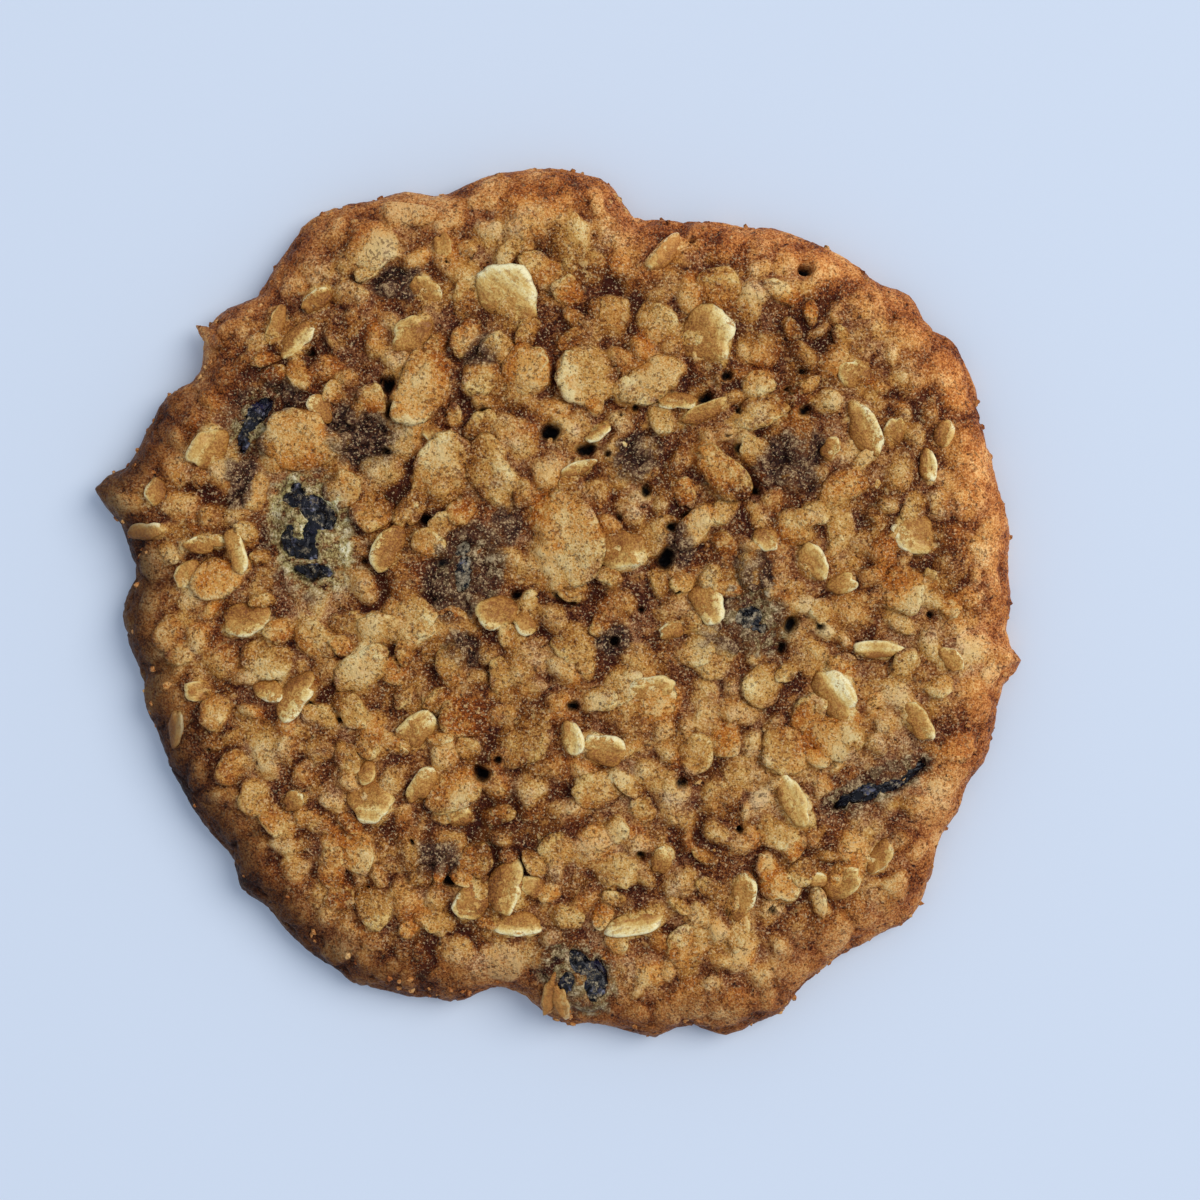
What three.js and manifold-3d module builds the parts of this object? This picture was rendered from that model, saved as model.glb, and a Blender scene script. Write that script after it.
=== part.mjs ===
// An oatmeal raisin cookie: one thin, wide baked disc with a lobed edge, a low dome covered in
// lumps where rolled oats lie under the crust, and raisins seated in pockets that open at the top.
// Millimetres, +Z up. The origin is the middle of the footprint, on the flat base.
import * as THREE from "three";
import { mergeVertices } from "three/addons/utils/BufferGeometryUtils.js";
import Module from "manifold-3d";

// Driving dimensions of the disc
const MEAN_RADIUS = 52.6; // of the outline, before its lobes
const SPREAD_SHIFT = 1.5; // how far the dough ran towards +X in the oven
const CROWN_HEIGHT = 9.0; // top of the dome above the base
const SHOULDER_HEIGHT = 5.6; // top of the crust where the rounded rim begins
const RIM_HEIGHT = 2.2; // of the widest line of the rim above the base
const RIM_ROUND = 4.6; // width of the band in which the crust turns down to the rim
const FOOT_TUCK = 1.3; // how far the base's edge lies inside the rim
const EDGE_CRUMBLE = 0.35; // depth of the fine waves along the outline

// Driving dimensions of what is baked into it
const OAT_LENGTH = 7.2; // a whole rolled oat, swollen by baking
const OAT_RISE = 1.0; // how far a covered oat lifts the crust
const OAT_SPACING = 5.6; // between scattered oats
const PUDDLE_DEPTH = 0.7; // of the low, broad waves between groups of oats
const RAISIN_CLEARANCE = 0.3; // between a raisin and its pocket
const RAISIN_FOLD = 0.16; // depth of a raisin's wrinkles, as a share of its radius

// Fineness of the faceted surfaces
const GRID = 52; // cells across the crust
const RIM_ROWS = 3; // rows of cells from the rim down to the base
const RAISIN_SIDES = 14;
const RAISIN_RINGS = 9;

// The outline's lobes and notches: where each one is, in degrees anticlockwise from +X, how far it
// reaches out of (or into) the disc, and how many degrees it fades over on its two sides.
const LOBES = [
  { at: 10, reach: 0.8, before: 3, after: 3 },
  { at: 31, reach: 2.7, before: 9, after: 15 },
  { at: 78, reach: -5.6, before: 16, after: 6 }, // long dip that ends at the top lobe's shoulder
  { at: 103, reach: -0.8, before: 3, after: 4 },
  { at: 122, reach: 3.4, before: 9, after: 9 },
  { at: 141, reach: 2.4, before: 5, after: 4 },
  { at: 157, reach: 3.2, before: 7, after: 16 },
  { at: 166, reach: 4.4, before: 2.6, after: 3 }, // crisp nub
  { at: 184, reach: 1.4, before: 5, after: 4 },
  { at: 214, reach: -1.0, before: 5, after: 9 },
  { at: 250, reach: -2.0, before: 4, after: 6 },
  { at: 263, reach: -5.8, before: 7, after: 5 }, // deep notch
  { at: 274, reach: -1.8, before: 5, after: 5 },
  { at: 297, reach: 2.6, before: 8, after: 5 },
  { at: 318, reach: 2.7, before: 7, after: 7 },
  { at: 333, reach: -0.7, before: 4, after: 4 },
  { at: 353, reach: 1.8, before: 2, after: 2 }, // a crumb that stands out
];

// The largest lumps of oats: centre, length, width, the turn of the long side in degrees
// anticlockwise from +X, and the rise above the crust.
const LUMPS = [
  { x: -3.5, y: 46.2, length: 10, width: 8, turn: 20, rise: 1.6 },
  { x: 0.8, y: 43.3, length: 7, width: 5.5, turn: 60, rise: 1.2 },
  { x: -6.5, y: 36.1, length: 8, width: 6.8, turn: -50, rise: 1.1 },
  { x: -22.2, y: 42.7, length: 6.5, width: 5.8, turn: 10, rise: 1.2 },
  { x: -16.4, y: 25.7, length: 11, width: 6.2, turn: 70, rise: 1.5 },
  { x: -4.0, y: 28.0, length: 6.6, width: 5.4, turn: 80, rise: 1.5 },
  { x: 3.0, y: 27.1, length: 7.5, width: 7, turn: 0, rise: 1.2 },
  { x: 17.4, y: 31.3, length: 7.4, width: 6.6, turn: 60, rise: 1.1 },
  { x: 10.8, y: 26.8, length: 8, width: 5, turn: 35, rise: 1.1 },
  { x: -31.0, y: 19.3, length: 9, width: 7.6, turn: 5, rise: 1.9 },
  { x: -41.6, y: 18.7, length: 6, width: 4.4, turn: 60, rise: 1.2 },
  { x: -40.8, y: 5.0, length: 9, width: 8, turn: 40, rise: 1.8 },
  { x: -36.8, y: -1.6, length: 6.5, width: 4, turn: 20, rise: 1.1 },
  { x: -34.5, y: -6.4, length: 6.5, width: 5.6, turn: 0, rise: 1.2 },
  { x: -14.2, y: 15.8, length: 10.5, width: 6, turn: 75, rise: 1.4 },
  { x: -8.3, y: 15.6, length: 8.2, width: 5.8, turn: -65, rise: 1.3 },
  { x: 0.4, y: 7.3, length: 12.5, width: 8, turn: -85, rise: 2.0 },
  { x: 7.4, y: 6.4, length: 6.5, width: 5.4, turn: 0, rise: 1.1 },
  { x: 18.6, y: 15.8, length: 9, width: 4.4, turn: -45, rise: 2.0 },
  { x: 15.8, y: 9.0, length: 7, width: 4, turn: 60, rise: 1.5 },
  { x: 23.2, y: 22.4, length: 7.6, width: 4.6, turn: 20, rise: 1.3 },
  { x: 11.0, y: -11.3, length: 6.6, width: 6.2, turn: 10, rise: 1.3 },
  { x: -4.0, y: -15.5, length: 8, width: 6, turn: 60, rise: 1.1 },
  { x: -12.4, y: -21.4, length: 8, width: 5, turn: 15, rise: 1.3 },
  { x: -17.8, y: -1.8, length: 6.6, width: 6.6, turn: 0, rise: 1.2 },
  { x: -23.0, y: -8.0, length: 8, width: 5.6, turn: 70, rise: 1.1 },
  { x: -22.2, y: -23.2, length: 6.4, width: 6, turn: 0, rise: 1.0 },
  { x: -6.4, y: -33.6, length: 6.4, width: 5.6, turn: 60, rise: 1.1 },
  { x: 32.6, y: -10.8, length: 7, width: 4.4, turn: -60, rise: 1.0 },
  { x: 40.4, y: 1.9, length: 6.4, width: 6, turn: 0, rise: 1.2 },
  { x: 25.8, y: -32.8, length: 5.2, width: 5, turn: 0, rise: 1.2 },
  { x: 21.2, y: -34.1, length: 6, width: 4, turn: -75, rise: 1.0 },
];

// The raisins that show: centre, length, width and thickness, the turn of the long side, and how
// far the crown stands above the crust around it.
const RAISINS = [
  { name: "raisin_torn_skin", x: -29.6, y: 8.5, size: [13, 8.8, 6], turn: 107, crown: 0.8 },
  { name: "raisin_on_edge", x: 37.4, y: -21.1, size: [13.5, 3.6, 4.2], turn: 24, crown: 0.5 },
  { name: "raisin_by_notch", x: 2.2, y: -44.3, size: [9.5, 7, 3.8], turn: -42, crown: 0.4 },
  { name: "raisin_in_hollow", x: -11.4, y: 4.0, size: [11, 8, 5.4], turn: 62, crown: 0.5 },
  { name: "raisin_flat", x: 22.4, y: -1.7, size: [9, 7.2, 5], turn: -30, crown: 0.5 },
  { name: "raisin_by_lump", x: -36.2, y: 21.4, size: [8, 4.6, 4.6], turn: 62, crown: 0.4 },
];

const GOLDEN_ANGLE = Math.PI * (3 - Math.sqrt(5));
const radians = THREE.MathUtils.degToRad;

// A repeatable scatter value from 0 to 1 for item i of a series.
function scatter(i, series) {
  const wave = Math.sin(i * 12.9898 + series * 78.233) * 43758.5453;
  return wave - Math.floor(wave);
}

// Radius of the rim at an angle in radians.
function rimRadius(angle) {
  const degrees = THREE.MathUtils.radToDeg(angle);
  let radius = MEAN_RADIUS + SPREAD_SHIFT * Math.cos(angle);
  for (const { at, reach, before, after } of LOBES) {
    const away = THREE.MathUtils.euclideanModulo(degrees - at + 180, 360) - 180;
    const fade = away < 0 ? before : after;
    radius += reach * Math.exp(-((away / fade) ** 2));
  }
  const crumble = Math.sin(31 * angle + 0.7) + 0.8 * Math.sin(47 * angle + 2.1);
  return radius + EDGE_CRUMBLE * crumble * Math.sin(5 * angle + 1.3);
}

// Oats scattered in a sunflower spiral, each a little off its place and of its own size.
function scatteredOats() {
  const reach = MEAN_RADIUS - RIM_ROUND;
  const count = Math.floor((reach / OAT_SPACING) ** 2 * Math.PI);
  const oats = [];
  for (let i = 0; i < count; i++) {
    const out = reach * Math.sqrt((i + 0.5) / count);
    const angle = i * GOLDEN_ANGLE;
    const length = OAT_LENGTH * (0.65 + 0.5 * scatter(i, 1));
    oats.push({
      x: out * Math.cos(angle) + OAT_SPACING * (scatter(i, 2) - 0.5),
      y: out * Math.sin(angle) + OAT_SPACING * (scatter(i, 3) - 0.5),
      length,
      width: length * (0.6 + 0.3 * scatter(i, 4)),
      turn: 180 * scatter(i, 5),
      rise: OAT_RISE * (0.5 + 0.8 * scatter(i, 6)),
    });
  }
  return oats;
}

// How much one oval lump lifts the crust at a point.
function lumpLift({ x, y, length, width, turn, rise }, px, py) {
  const c = Math.cos(radians(turn));
  const s = Math.sin(radians(turn));
  const along = ((px - x) * c + (py - y) * s) / (length / 2);
  const across = (-(px - x) * s + (py - y) * c) / (width / 2);
  const q = along * along + across * across;
  return q < 1.6 ? rise * Math.exp(-0.9 * q * q) : 0;
}

const oats = [...LUMPS, ...scatteredOats()];

// Height of the crust at a point, before the rim rounds it off.
function crustHeight(px, py) {
  const share = Math.hypot(px, py) / rimRadius(Math.atan2(py, px));
  const dome = SHOULDER_HEIGHT + (CROWN_HEIGHT - SHOULDER_HEIGHT) * (1 - share ** 3);
  const puddles = Math.sin(px / 6.1 + 1.2) * Math.sin(py / 7.3 + 0.4) + 0.6 * Math.sin((px - py) / 4.9);
  const lift = oats.reduce((most, oat) => Math.max(most, lumpLift(oat, px, py)), 0);
  return dome + PUDDLE_DEPTH * 0.5 * (puddles - 0.6) + lift;
}

// Height of the finished top: the crust, turned down over the round of the rim.
function topHeight(px, py) {
  const inwards = Math.max(0, rimRadius(Math.atan2(py, px)) - Math.hypot(px, py));
  const q = Math.min(1, inwards / RIM_ROUND);
  const round = (1 - (1 - q) ** 2.2) ** (1 / 2.2);
  return RIM_HEIGHT + (crustHeight(px, py) - RIM_HEIGHT) * round;
}

// A cell corner of the square grid as a place on the disc: {share, angle}, with the grid's square
// rings as circles and its rows closer together towards the rim.
function onDisc(i, j) {
  const u = (2 * i) / GRID - 1;
  const v = (2 * j) / GRID - 1;
  if (u === 0 && v === 0) return { share: 0, angle: 0 };
  const ring = Math.max(Math.abs(u), Math.abs(v));
  const angle =
    Math.abs(u) >= Math.abs(v)
      ? ((Math.PI / 4) * v) / u + (u < 0 ? Math.PI : 0)
      : Math.PI / 2 - ((Math.PI / 4) * u) / v + (v < 0 ? Math.PI : 0);
  return { share: ring * (1 + 0.25 * (1 - ring)), angle };
}

// The grid's outer corners in anticlockwise order.
function rimCorners() {
  const corners = [];
  for (let i = 0; i < GRID; i++) corners.push([i, 0]);
  for (let j = 0; j < GRID; j++) corners.push([GRID, j]);
  for (let i = GRID; i > 0; i--) corners.push([i, GRID]);
  for (let j = GRID; j > 0; j--) corners.push([0, j]);
  return corners;
}

// The whole disc as one closed mesh: gridded crust, rounded rim and flat base.
function discGeometry() {
  const points = [];
  const faces = [];
  const quad = (a, b, c, d) => faces.push(a, b, c, a, c, d);
  const corner = (i, j) => j * (GRID + 1) + i;

  for (let j = 0; j <= GRID; j++) {
    for (let i = 0; i <= GRID; i++) {
      const { share, angle } = onDisc(i, j);
      const radius = share * rimRadius(angle);
      const x = radius * Math.cos(angle);
      const y = radius * Math.sin(angle);
      points.push(x, y, topHeight(x, y));
    }
  }
  for (let j = 0; j < GRID; j++) {
    for (let i = 0; i < GRID; i++) {
      quad(corner(i, j), corner(i + 1, j), corner(i + 1, j + 1), corner(i, j + 1));
    }
  }

  const rim = rimCorners();
  let upper = rim.map(([i, j]) => corner(i, j));
  for (let row = 1; row <= RIM_ROWS; row++) {
    const turn = (row / RIM_ROWS) * (Math.PI / 2);
    const lower = rim.map(([i, j]) => {
      const { angle } = onDisc(i, j);
      const radius = rimRadius(angle) - FOOT_TUCK * (1 - Math.cos(turn));
      points.push(radius * Math.cos(angle), radius * Math.sin(angle), RIM_HEIGHT * (1 - Math.sin(turn)));
      return points.length / 3 - 1;
    });
    rim.forEach((_, k) => {
      const next = (k + 1) % rim.length;
      quad(lower[k], lower[next], upper[next], upper[k]);
    });
    upper = lower;
  }

  const middle = points.push(0, 0, 0) / 3 - 1;
  upper.forEach((foot, k) => faces.push(foot, middle, upper[(k + 1) % upper.length]));

  const geometry = new THREE.BufferGeometry();
  geometry.setAttribute("position", new THREE.Float32BufferAttribute(points, 3));
  geometry.setIndex(faces);
  return geometry;
}

// An oval ball with half sizes [a, b, c], turned about Z and set in place. With folds, wrinkles
// pull its skin inwards and never outwards.
function ovalGeometry([a, b, c], folds, turn, place) {
  const ball = new THREE.SphereGeometry(1, RAISIN_SIDES, RAISIN_RINGS);
  const position = ball.getAttribute("position");
  for (let k = 0; k < position.count; k++) {
    const p = new THREE.Vector3().fromBufferAttribute(position, k).normalize();
    const fold = 0.5 + 0.25 * Math.sin(5 * p.x + 7 * p.y) + 0.25 * Math.sin(9 * p.z - 6 * p.y + 1);
    p.multiplyScalar(1 - folds * fold);
    position.setXYZ(k, p.x * a, p.y * b, p.z * c);
  }
  ball.rotateZ(radians(turn));
  ball.translate(place.x, place.y, place.z);
  return ball;
}

// A raisin's centre: its crown stands a set height above the crust at its middle.
function raisinPlace({ x, y, size, crown }) {
  return new THREE.Vector3(x, y, topHeight(x, y) + crown - size[2] / 2);
}

function raisinGeometry(raisin) {
  const half = raisin.size.map((side) => side / 2);
  return ovalGeometry(half, RAISIN_FOLD, raisin.turn, raisinPlace(raisin));
}

function pocketGeometry(raisin) {
  const half = raisin.size.map((side) => side / 2 + RAISIN_CLEARANCE);
  return ovalGeometry(half, 0, raisin.turn, raisinPlace(raisin));
}

const wasm = await Module();
wasm.setup();

function toSolid(geometry) {
  const bare = geometry.clone();
  bare.deleteAttribute("normal");
  bare.deleteAttribute("uv");
  const merged = mergeVertices(bare, 1e-3);
  const vertProperties = new Float32Array(merged.getAttribute("position").array);
  const triVerts = new Uint32Array(merged.index.array);
  return new wasm.Manifold(new wasm.Mesh({ numProp: 3, vertProperties, triVerts }));
}

function toGeometry(solid) {
  const { vertProperties, triVerts } = solid.getMesh();
  const geometry = new THREE.BufferGeometry();
  geometry.setAttribute("position", new THREE.BufferAttribute(vertProperties, 3));
  geometry.setIndex(new THREE.BufferAttribute(triVerts, 1));
  geometry.computeVertexNormals();
  return geometry;
}

function doughGeometry() {
  const pockets = RAISINS.map((raisin) => toSolid(pocketGeometry(raisin)));
  const solid = pockets.reduce((dough, pocket) => dough.subtract(pocket), toSolid(discGeometry()));
  return toGeometry(solid);
}

const dough = new THREE.Mesh(
  doughGeometry(),
  new THREE.MeshStandardMaterial({ color: 0x9c6d3e, roughness: 0.85, metalness: 0 }),
);
dough.name = "cookie";

const raisinSkin = new THREE.MeshStandardMaterial({ color: 0x1d1828, roughness: 0.45, metalness: 0 });
const raisins = RAISINS.map((raisin) => {
  const mesh = new THREE.Mesh(raisinGeometry(raisin), raisinSkin);
  mesh.name = raisin.name;
  return mesh;
});

// The outline's lobes leave the disc off centre, so the whole is moved to the middle of its footprint.
const cookie = new THREE.Group();
cookie.add(dough, ...raisins);
const footprint = new THREE.Box3().setFromObject(dough).getCenter(new THREE.Vector3());
cookie.position.set(-footprint.x, -footprint.y, 0);

export default cookie;
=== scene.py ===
"""Oatmeal raisin cookie: the dough, the rolled oats that stand out of it, the raisins and the crumbs."""

import logging
import math
import random
from dataclasses import dataclass, field
from enum import Enum
from typing import Iterable, Sequence

import bpy
import numpy as np
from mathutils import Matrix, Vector, noise as solid_noise


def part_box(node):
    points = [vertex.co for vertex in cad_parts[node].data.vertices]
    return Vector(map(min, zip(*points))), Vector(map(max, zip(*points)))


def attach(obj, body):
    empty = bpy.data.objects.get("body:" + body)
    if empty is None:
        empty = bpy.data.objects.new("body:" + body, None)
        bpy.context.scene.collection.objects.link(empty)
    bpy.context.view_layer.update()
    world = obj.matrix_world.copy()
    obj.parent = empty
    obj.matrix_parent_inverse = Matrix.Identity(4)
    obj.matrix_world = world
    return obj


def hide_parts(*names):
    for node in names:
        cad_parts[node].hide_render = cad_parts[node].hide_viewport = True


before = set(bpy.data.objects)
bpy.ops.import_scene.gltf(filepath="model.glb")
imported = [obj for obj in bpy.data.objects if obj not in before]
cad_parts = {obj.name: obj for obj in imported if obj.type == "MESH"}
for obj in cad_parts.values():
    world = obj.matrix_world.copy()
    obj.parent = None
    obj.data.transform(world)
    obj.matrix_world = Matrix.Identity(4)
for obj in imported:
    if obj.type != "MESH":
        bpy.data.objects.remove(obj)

log = logging.getLogger("cookie")
MM = 0.001
RIM_HEIGHT = 2.2  # millimetres from the underside up to the cookie's widest line
SENSOR_WIDTH = 36.0  # millimetres
Array = np.ndarray
Colour = tuple[float, float, float, float]
Socket = bpy.types.NodeSocket
Piece = bpy.types.Object


# ---------------------------------------------------------------------------------------------
# Small helpers
# ---------------------------------------------------------------------------------------------


def tint(red: float, green: float, blue: float) -> Colour:
    """Turns a screen colour of 0 to 255 into the linear colour that shaders take.

    Args:
        red: Red, 0 to 255.
        green: Green, 0 to 255.
        blue: Blue, 0 to 255.

    Returns:
        Linear red, green, blue and an alpha of 1.
    """

    def linear(value: float) -> float:
        """One channel, made linear."""
        share = value / 255
        return share / 12.92 if share <= 0.04045 else ((share + 0.055) / 1.055) ** 2.4

    return linear(red), linear(green), linear(blue), 1.0


def smooth_step(low: float, high: float, value: Array) -> Array:
    """Rises smoothly from 0 where value is low to 1 where it is high."""
    share = np.clip((value - low) / (high - low), 0, 1)
    return share * share * (3 - 2 * share)


def soft_max(first: Array, second: Array, blend: float) -> Array:
    """Takes the higher of two surfaces, with the joint rounded over the height called blend."""
    share = np.clip(0.5 + 0.5 * (first - second) / blend, 0, 1)
    return second + (first - second) * share + blend * share * (1 - share)


def spin(x: Array, y: Array, angle: float) -> tuple[Array, Array]:
    """Turns places about the origin by an angle in radians."""
    cosine, sine = math.cos(angle), math.sin(angle)
    return x * cosine - y * sine, x * sine + y * cosine


class Noise:
    """Smooth noise and rounded cells over a plane, the same on each run."""

    SIZE = 256

    def __init__(self, seed: int) -> None:
        """Draws the slopes and the cells' middles.

        Args:
            seed: Picks the pattern.
        """
        draw = np.random.default_rng(seed)
        angle = draw.uniform(0, 2 * math.pi, (self.SIZE, self.SIZE))
        self.slope = np.cos(angle), np.sin(angle)
        self.middle = draw.random((2, self.SIZE, self.SIZE))

    def waves(self, x: Array, y: Array, size: float) -> Array:
        """Rolling noise with hills of one size.

        Args:
            x: Places along X.
            y: Places along Y.
            size: Width of a hill and a hollow together.

        Returns:
            Heights of about -1 to 1.
        """
        u, v = np.asarray(x) / size + 40.5, np.asarray(y) / size + 40.5
        column, row = np.floor(u).astype(int), np.floor(v).astype(int)
        across, up = u - column, v - row

        def corner(right: int, above: int) -> Array:
            """The slope of one corner, run out to the place."""
            at = (row + above) % self.SIZE, (column + right) % self.SIZE
            return self.slope[0][at] * (across - right) + self.slope[1][at] * (up - above)

        fade_x = across**3 * (across * (across * 6 - 15) + 10)
        fade_y = up**3 * (up * (up * 6 - 15) + 10)
        low = corner(0, 0) + fade_x * (corner(1, 0) - corner(0, 0))
        high = corner(0, 1) + fade_x * (corner(1, 1) - corner(0, 1))
        return 1.5 * (low + fade_y * (high - low))

    def layers(self, x: Array, y: Array, size: float, count: int = 4, gain: float = 0.5) -> Array:
        """Rolling noise with finer noise on it.

        Args:
            x: Places along X.
            y: Places along Y.
            size: Width of the largest hills.
            count: Layers, each half as wide as the one before.
            gain: Height of each layer as a share of the one before.

        Returns:
            Heights of about -1 to 1.
        """
        total, most = 0.0, 0.0
        for layer in range(count):
            share = gain**layer
            total = total + share * self.waves(x + 7.3 * layer, y - 5.9 * layer, size / 2**layer)
            most += share
        return total / most

    def cells(self, x: Array, y: Array, size: float) -> Array:
        """Distance to the nearest of many scattered middles.

        Args:
            x: Places along X.
            y: Places along Y.
            size: Mean distance between middles.

        Returns:
            The distance as a share of size, 0 at a middle.
        """
        u, v = np.asarray(x) / size + 40.5, np.asarray(y) / size + 40.5
        column, row = np.floor(u).astype(int), np.floor(v).astype(int)
        nearest = np.full(np.shape(u), 9.0)
        for above in (-1, 0, 1):
            for right in (-1, 0, 1):
                at = (row + above) % self.SIZE, (column + right) % self.SIZE
                away_x = column + right + self.middle[0][at] - u
                away_y = row + above + self.middle[1][at] - v
                nearest = np.minimum(nearest, away_x**2 + away_y**2)
        return np.sqrt(nearest)


class Steps:
    """Modelling steps that act on Blender's active object."""

    @staticmethod
    def clear_selection() -> None:
        """Deselects every object."""
        bpy.ops.object.select_all(action="DESELECT")

    @staticmethod
    def hold(piece: Piece) -> None:
        """Selects one object alone and makes it active.

        Args:
            piece: The object.
        """
        Steps.clear_selection()
        piece.select_set(True)
        bpy.context.view_layer.objects.active = piece

    @staticmethod
    def places(piece: Piece) -> Array:
        """Reads an object's vertices.

        Args:
            piece: The object.

        Returns:
            Millimetres, one row for each vertex.
        """
        flat = np.zeros(len(piece.data.vertices) * 3, np.float32)
        piece.data.vertices.foreach_get("co", flat)
        return flat.reshape(-1, 3).astype(float) / MM

    @staticmethod
    def move(piece: Piece, places: Array) -> None:
        """Moves the object's vertices to places in millimetres, one row for each vertex."""
        piece.data.vertices.foreach_set("co", (places * MM).astype(np.float32).ravel())
        piece.data.update()

    @staticmethod
    def mark(piece: Piece, name: str, values: Array) -> None:
        """Stores one number for each vertex, for the material to read."""
        marks = piece.data.attributes.new(name, "FLOAT", "POINT")
        marks.data.foreach_set("value", np.asarray(values, np.float32).ravel())

    @staticmethod
    def join(pieces: Sequence[Piece], name: str) -> Piece:
        """Joins objects into the first one.

        Args:
            pieces: The objects.
            name: The joined object's name.

        Returns:
            The joined object.
        """
        Steps.clear_selection()
        for piece in pieces:
            piece.select_set(True)
        bpy.context.view_layer.objects.active = pieces[0]
        if len(pieces) > 1:
            bpy.ops.object.join()
        pieces[0].name = pieces[0].data.name = name
        return pieces[0]

    @staticmethod
    def finish(piece: Piece, material: bpy.types.Material, slot: str) -> None:
        """Gives a piece its material, its smooth shading and its body.

        Args:
            piece: The object.
            material: What it is made of.
            slot: A material slot's name; not used.
        """
        Steps.hold(piece)
        bpy.ops.object.shade_smooth()
        piece.data.materials.clear()
        piece.data.materials.append(material)
        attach(piece, "root")
        log.info("%s: %d vertices", piece.name, len(piece.data.vertices))


class Recipe:
    """A material's nodes, added in the order in which they are mixed."""

    def __init__(self, name: str) -> None:
        """Starts a material with one Principled shader.

        Args:
            name: The material's name.
        """
        self.material = bpy.data.materials.new(name)
        self.material.use_nodes = True
        self.tree = self.material.node_tree
        self.shader = self.tree.nodes["Principled BSDF"]
        self.place = self.tree.nodes.new("ShaderNodeTexCoord").outputs["Object"]

    def set(self, **sockets: float | Colour) -> None:
        """Sets the shader's own sockets to constants."""
        for name, value in sockets.items():
            self.shader.inputs[name.replace("_", " ")].default_value = value

    def feed(self, source: Socket, socket: str) -> None:
        """Links a result to one of the shader's sockets."""
        self.tree.links.new(source, self.shader.inputs[socket])

    def _put(self, socket: Socket, value: object) -> None:
        """Links or sets one input.

        Args:
            socket: The input.
            value: Another node's output, or a constant.
        """
        if isinstance(value, Socket):
            self.tree.links.new(value, socket)
        else:
            socket.default_value = value

    def mark(self, name: str) -> Socket:
        """Reads a number stored on the vertices.

        Args:
            name: The attribute's name.

        Returns:
            The number.
        """
        node = self.tree.nodes.new("ShaderNodeAttribute")
        node.attribute_name = name
        return node.outputs["Fac"]

    def grain(
        self, size: float, detail: float = 3.0, rough: float = 0.55, place: Socket | None = None
    ) -> Socket:
        """Cloudy noise.

        Args:
            size: Width of the largest clouds in millimetres.
            detail: Layers of finer clouds.
            rough: Strength of each finer layer.
            place: Coordinates to read in place of the object's own.

        Returns:
            A value of 0 to 1.
        """
        node = self.tree.nodes.new("ShaderNodeTexNoise")
        self._put(node.inputs["Vector"], place or self.place)
        self._put(node.inputs["Scale"], 1 / (size * MM))
        self._put(node.inputs["Detail"], detail)
        self._put(node.inputs["Roughness"], rough)
        return node.outputs["Fac"]

    def reach(self, value: Socket, low: float, high: float, start: float = 0, end: float = 1) -> Socket:
        """Spreads a range of values over another range, and holds it there.

        Args:
            value: What is spread.
            low: Value that becomes start.
            high: Value that becomes end.
            start: Result at low.
            end: Result at high.

        Returns:
            The spread value.
        """
        node = self.tree.nodes.new("ShaderNodeMapRange")
        node.interpolation_type = "SMOOTHSTEP"
        for name, number in zip(
            ("Value", "From Min", "From Max", "To Min", "To Max"), (value, low, high, start, end)
        ):
            self._put(node.inputs[name], number)
        return node.outputs["Result"]

    def sum(self, *parts: tuple[object, float]) -> Socket:
        """Adds weighted values.

        Args:
            parts: Pairs of a value and its weight.

        Returns:
            The sum.
        """
        total: object = 0.0
        for value, weight in parts:
            node = self.tree.nodes.new("ShaderNodeMath")
            node.operation = "MULTIPLY_ADD"
            self._put(node.inputs[0], value)
            self._put(node.inputs[1], weight)
            self._put(node.inputs[2], total)
            total = node.outputs[0]
        return total

    def times(self, first: object, second: object) -> Socket:
        """Multiplies two values.

        Args:
            first: A result or a constant.
            second: Another.

        Returns:
            Their product.
        """
        node = self.tree.nodes.new("ShaderNodeMath")
        node.operation = "MULTIPLY"
        self._put(node.inputs[0], first)
        self._put(node.inputs[1], second)
        return node.outputs[0]

    def shade(self, colour: Socket, by: object) -> Socket:
        """Lightens or darkens a colour.

        Args:
            colour: The colour.
            by: What it is multiplied by.

        Returns:
            The new colour.
        """
        node = self.tree.nodes.new("ShaderNodeVectorMath")
        node.operation = "SCALE"
        self._put(node.inputs[0], colour)
        self._put(node.inputs["Scale"], by)
        return node.outputs[0]

    def ramp(self, value: Socket, stops: Iterable[tuple[float, Colour]]) -> Socket:
        """Turns a value into a colour.

        Args:
            value: 0 to 1.
            stops: Places along the ramp and their colours.

        Returns:
            The colour.
        """
        node = self.tree.nodes.new("ShaderNodeValToRGB")
        band = node.color_ramp
        for index, (at, colour) in enumerate(stops):
            stop = band.elements[index] if index < 2 else band.elements.new(at)
            stop.position, stop.color = at, colour
        self._put(node.inputs[0], value)
        return node.outputs["Color"]

    def even(self, value: Socket, colours: tuple[Colour, ...]) -> Socket:
        """A ramp with its colours at even steps.

        Args:
            value: 0 to 1.
            colours: From dark to light.

        Returns:
            The colour.
        """
        last = len(colours) - 1
        order = [0, last, *range(1, last)]
        return self.ramp(value, [(k / last, colours[k]) for k in order])

    def mix(self, share: object, under: object, over: object, mode: str = "MIX") -> Socket:
        """Lays one colour over another.

        Args:
            share: How much of the upper colour shows, 0 to 1.
            under: The lower colour.
            over: The upper colour.
            mode: How they blend.

        Returns:
            The mixed colour.
        """
        node = self.tree.nodes.new("ShaderNodeMix")
        node.data_type, node.blend_type = "RGBA", mode
        self._put(node.inputs[0], share)
        self._put(node.inputs[6], under)
        self._put(node.inputs[7], over)
        return node.outputs[2]

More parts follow.
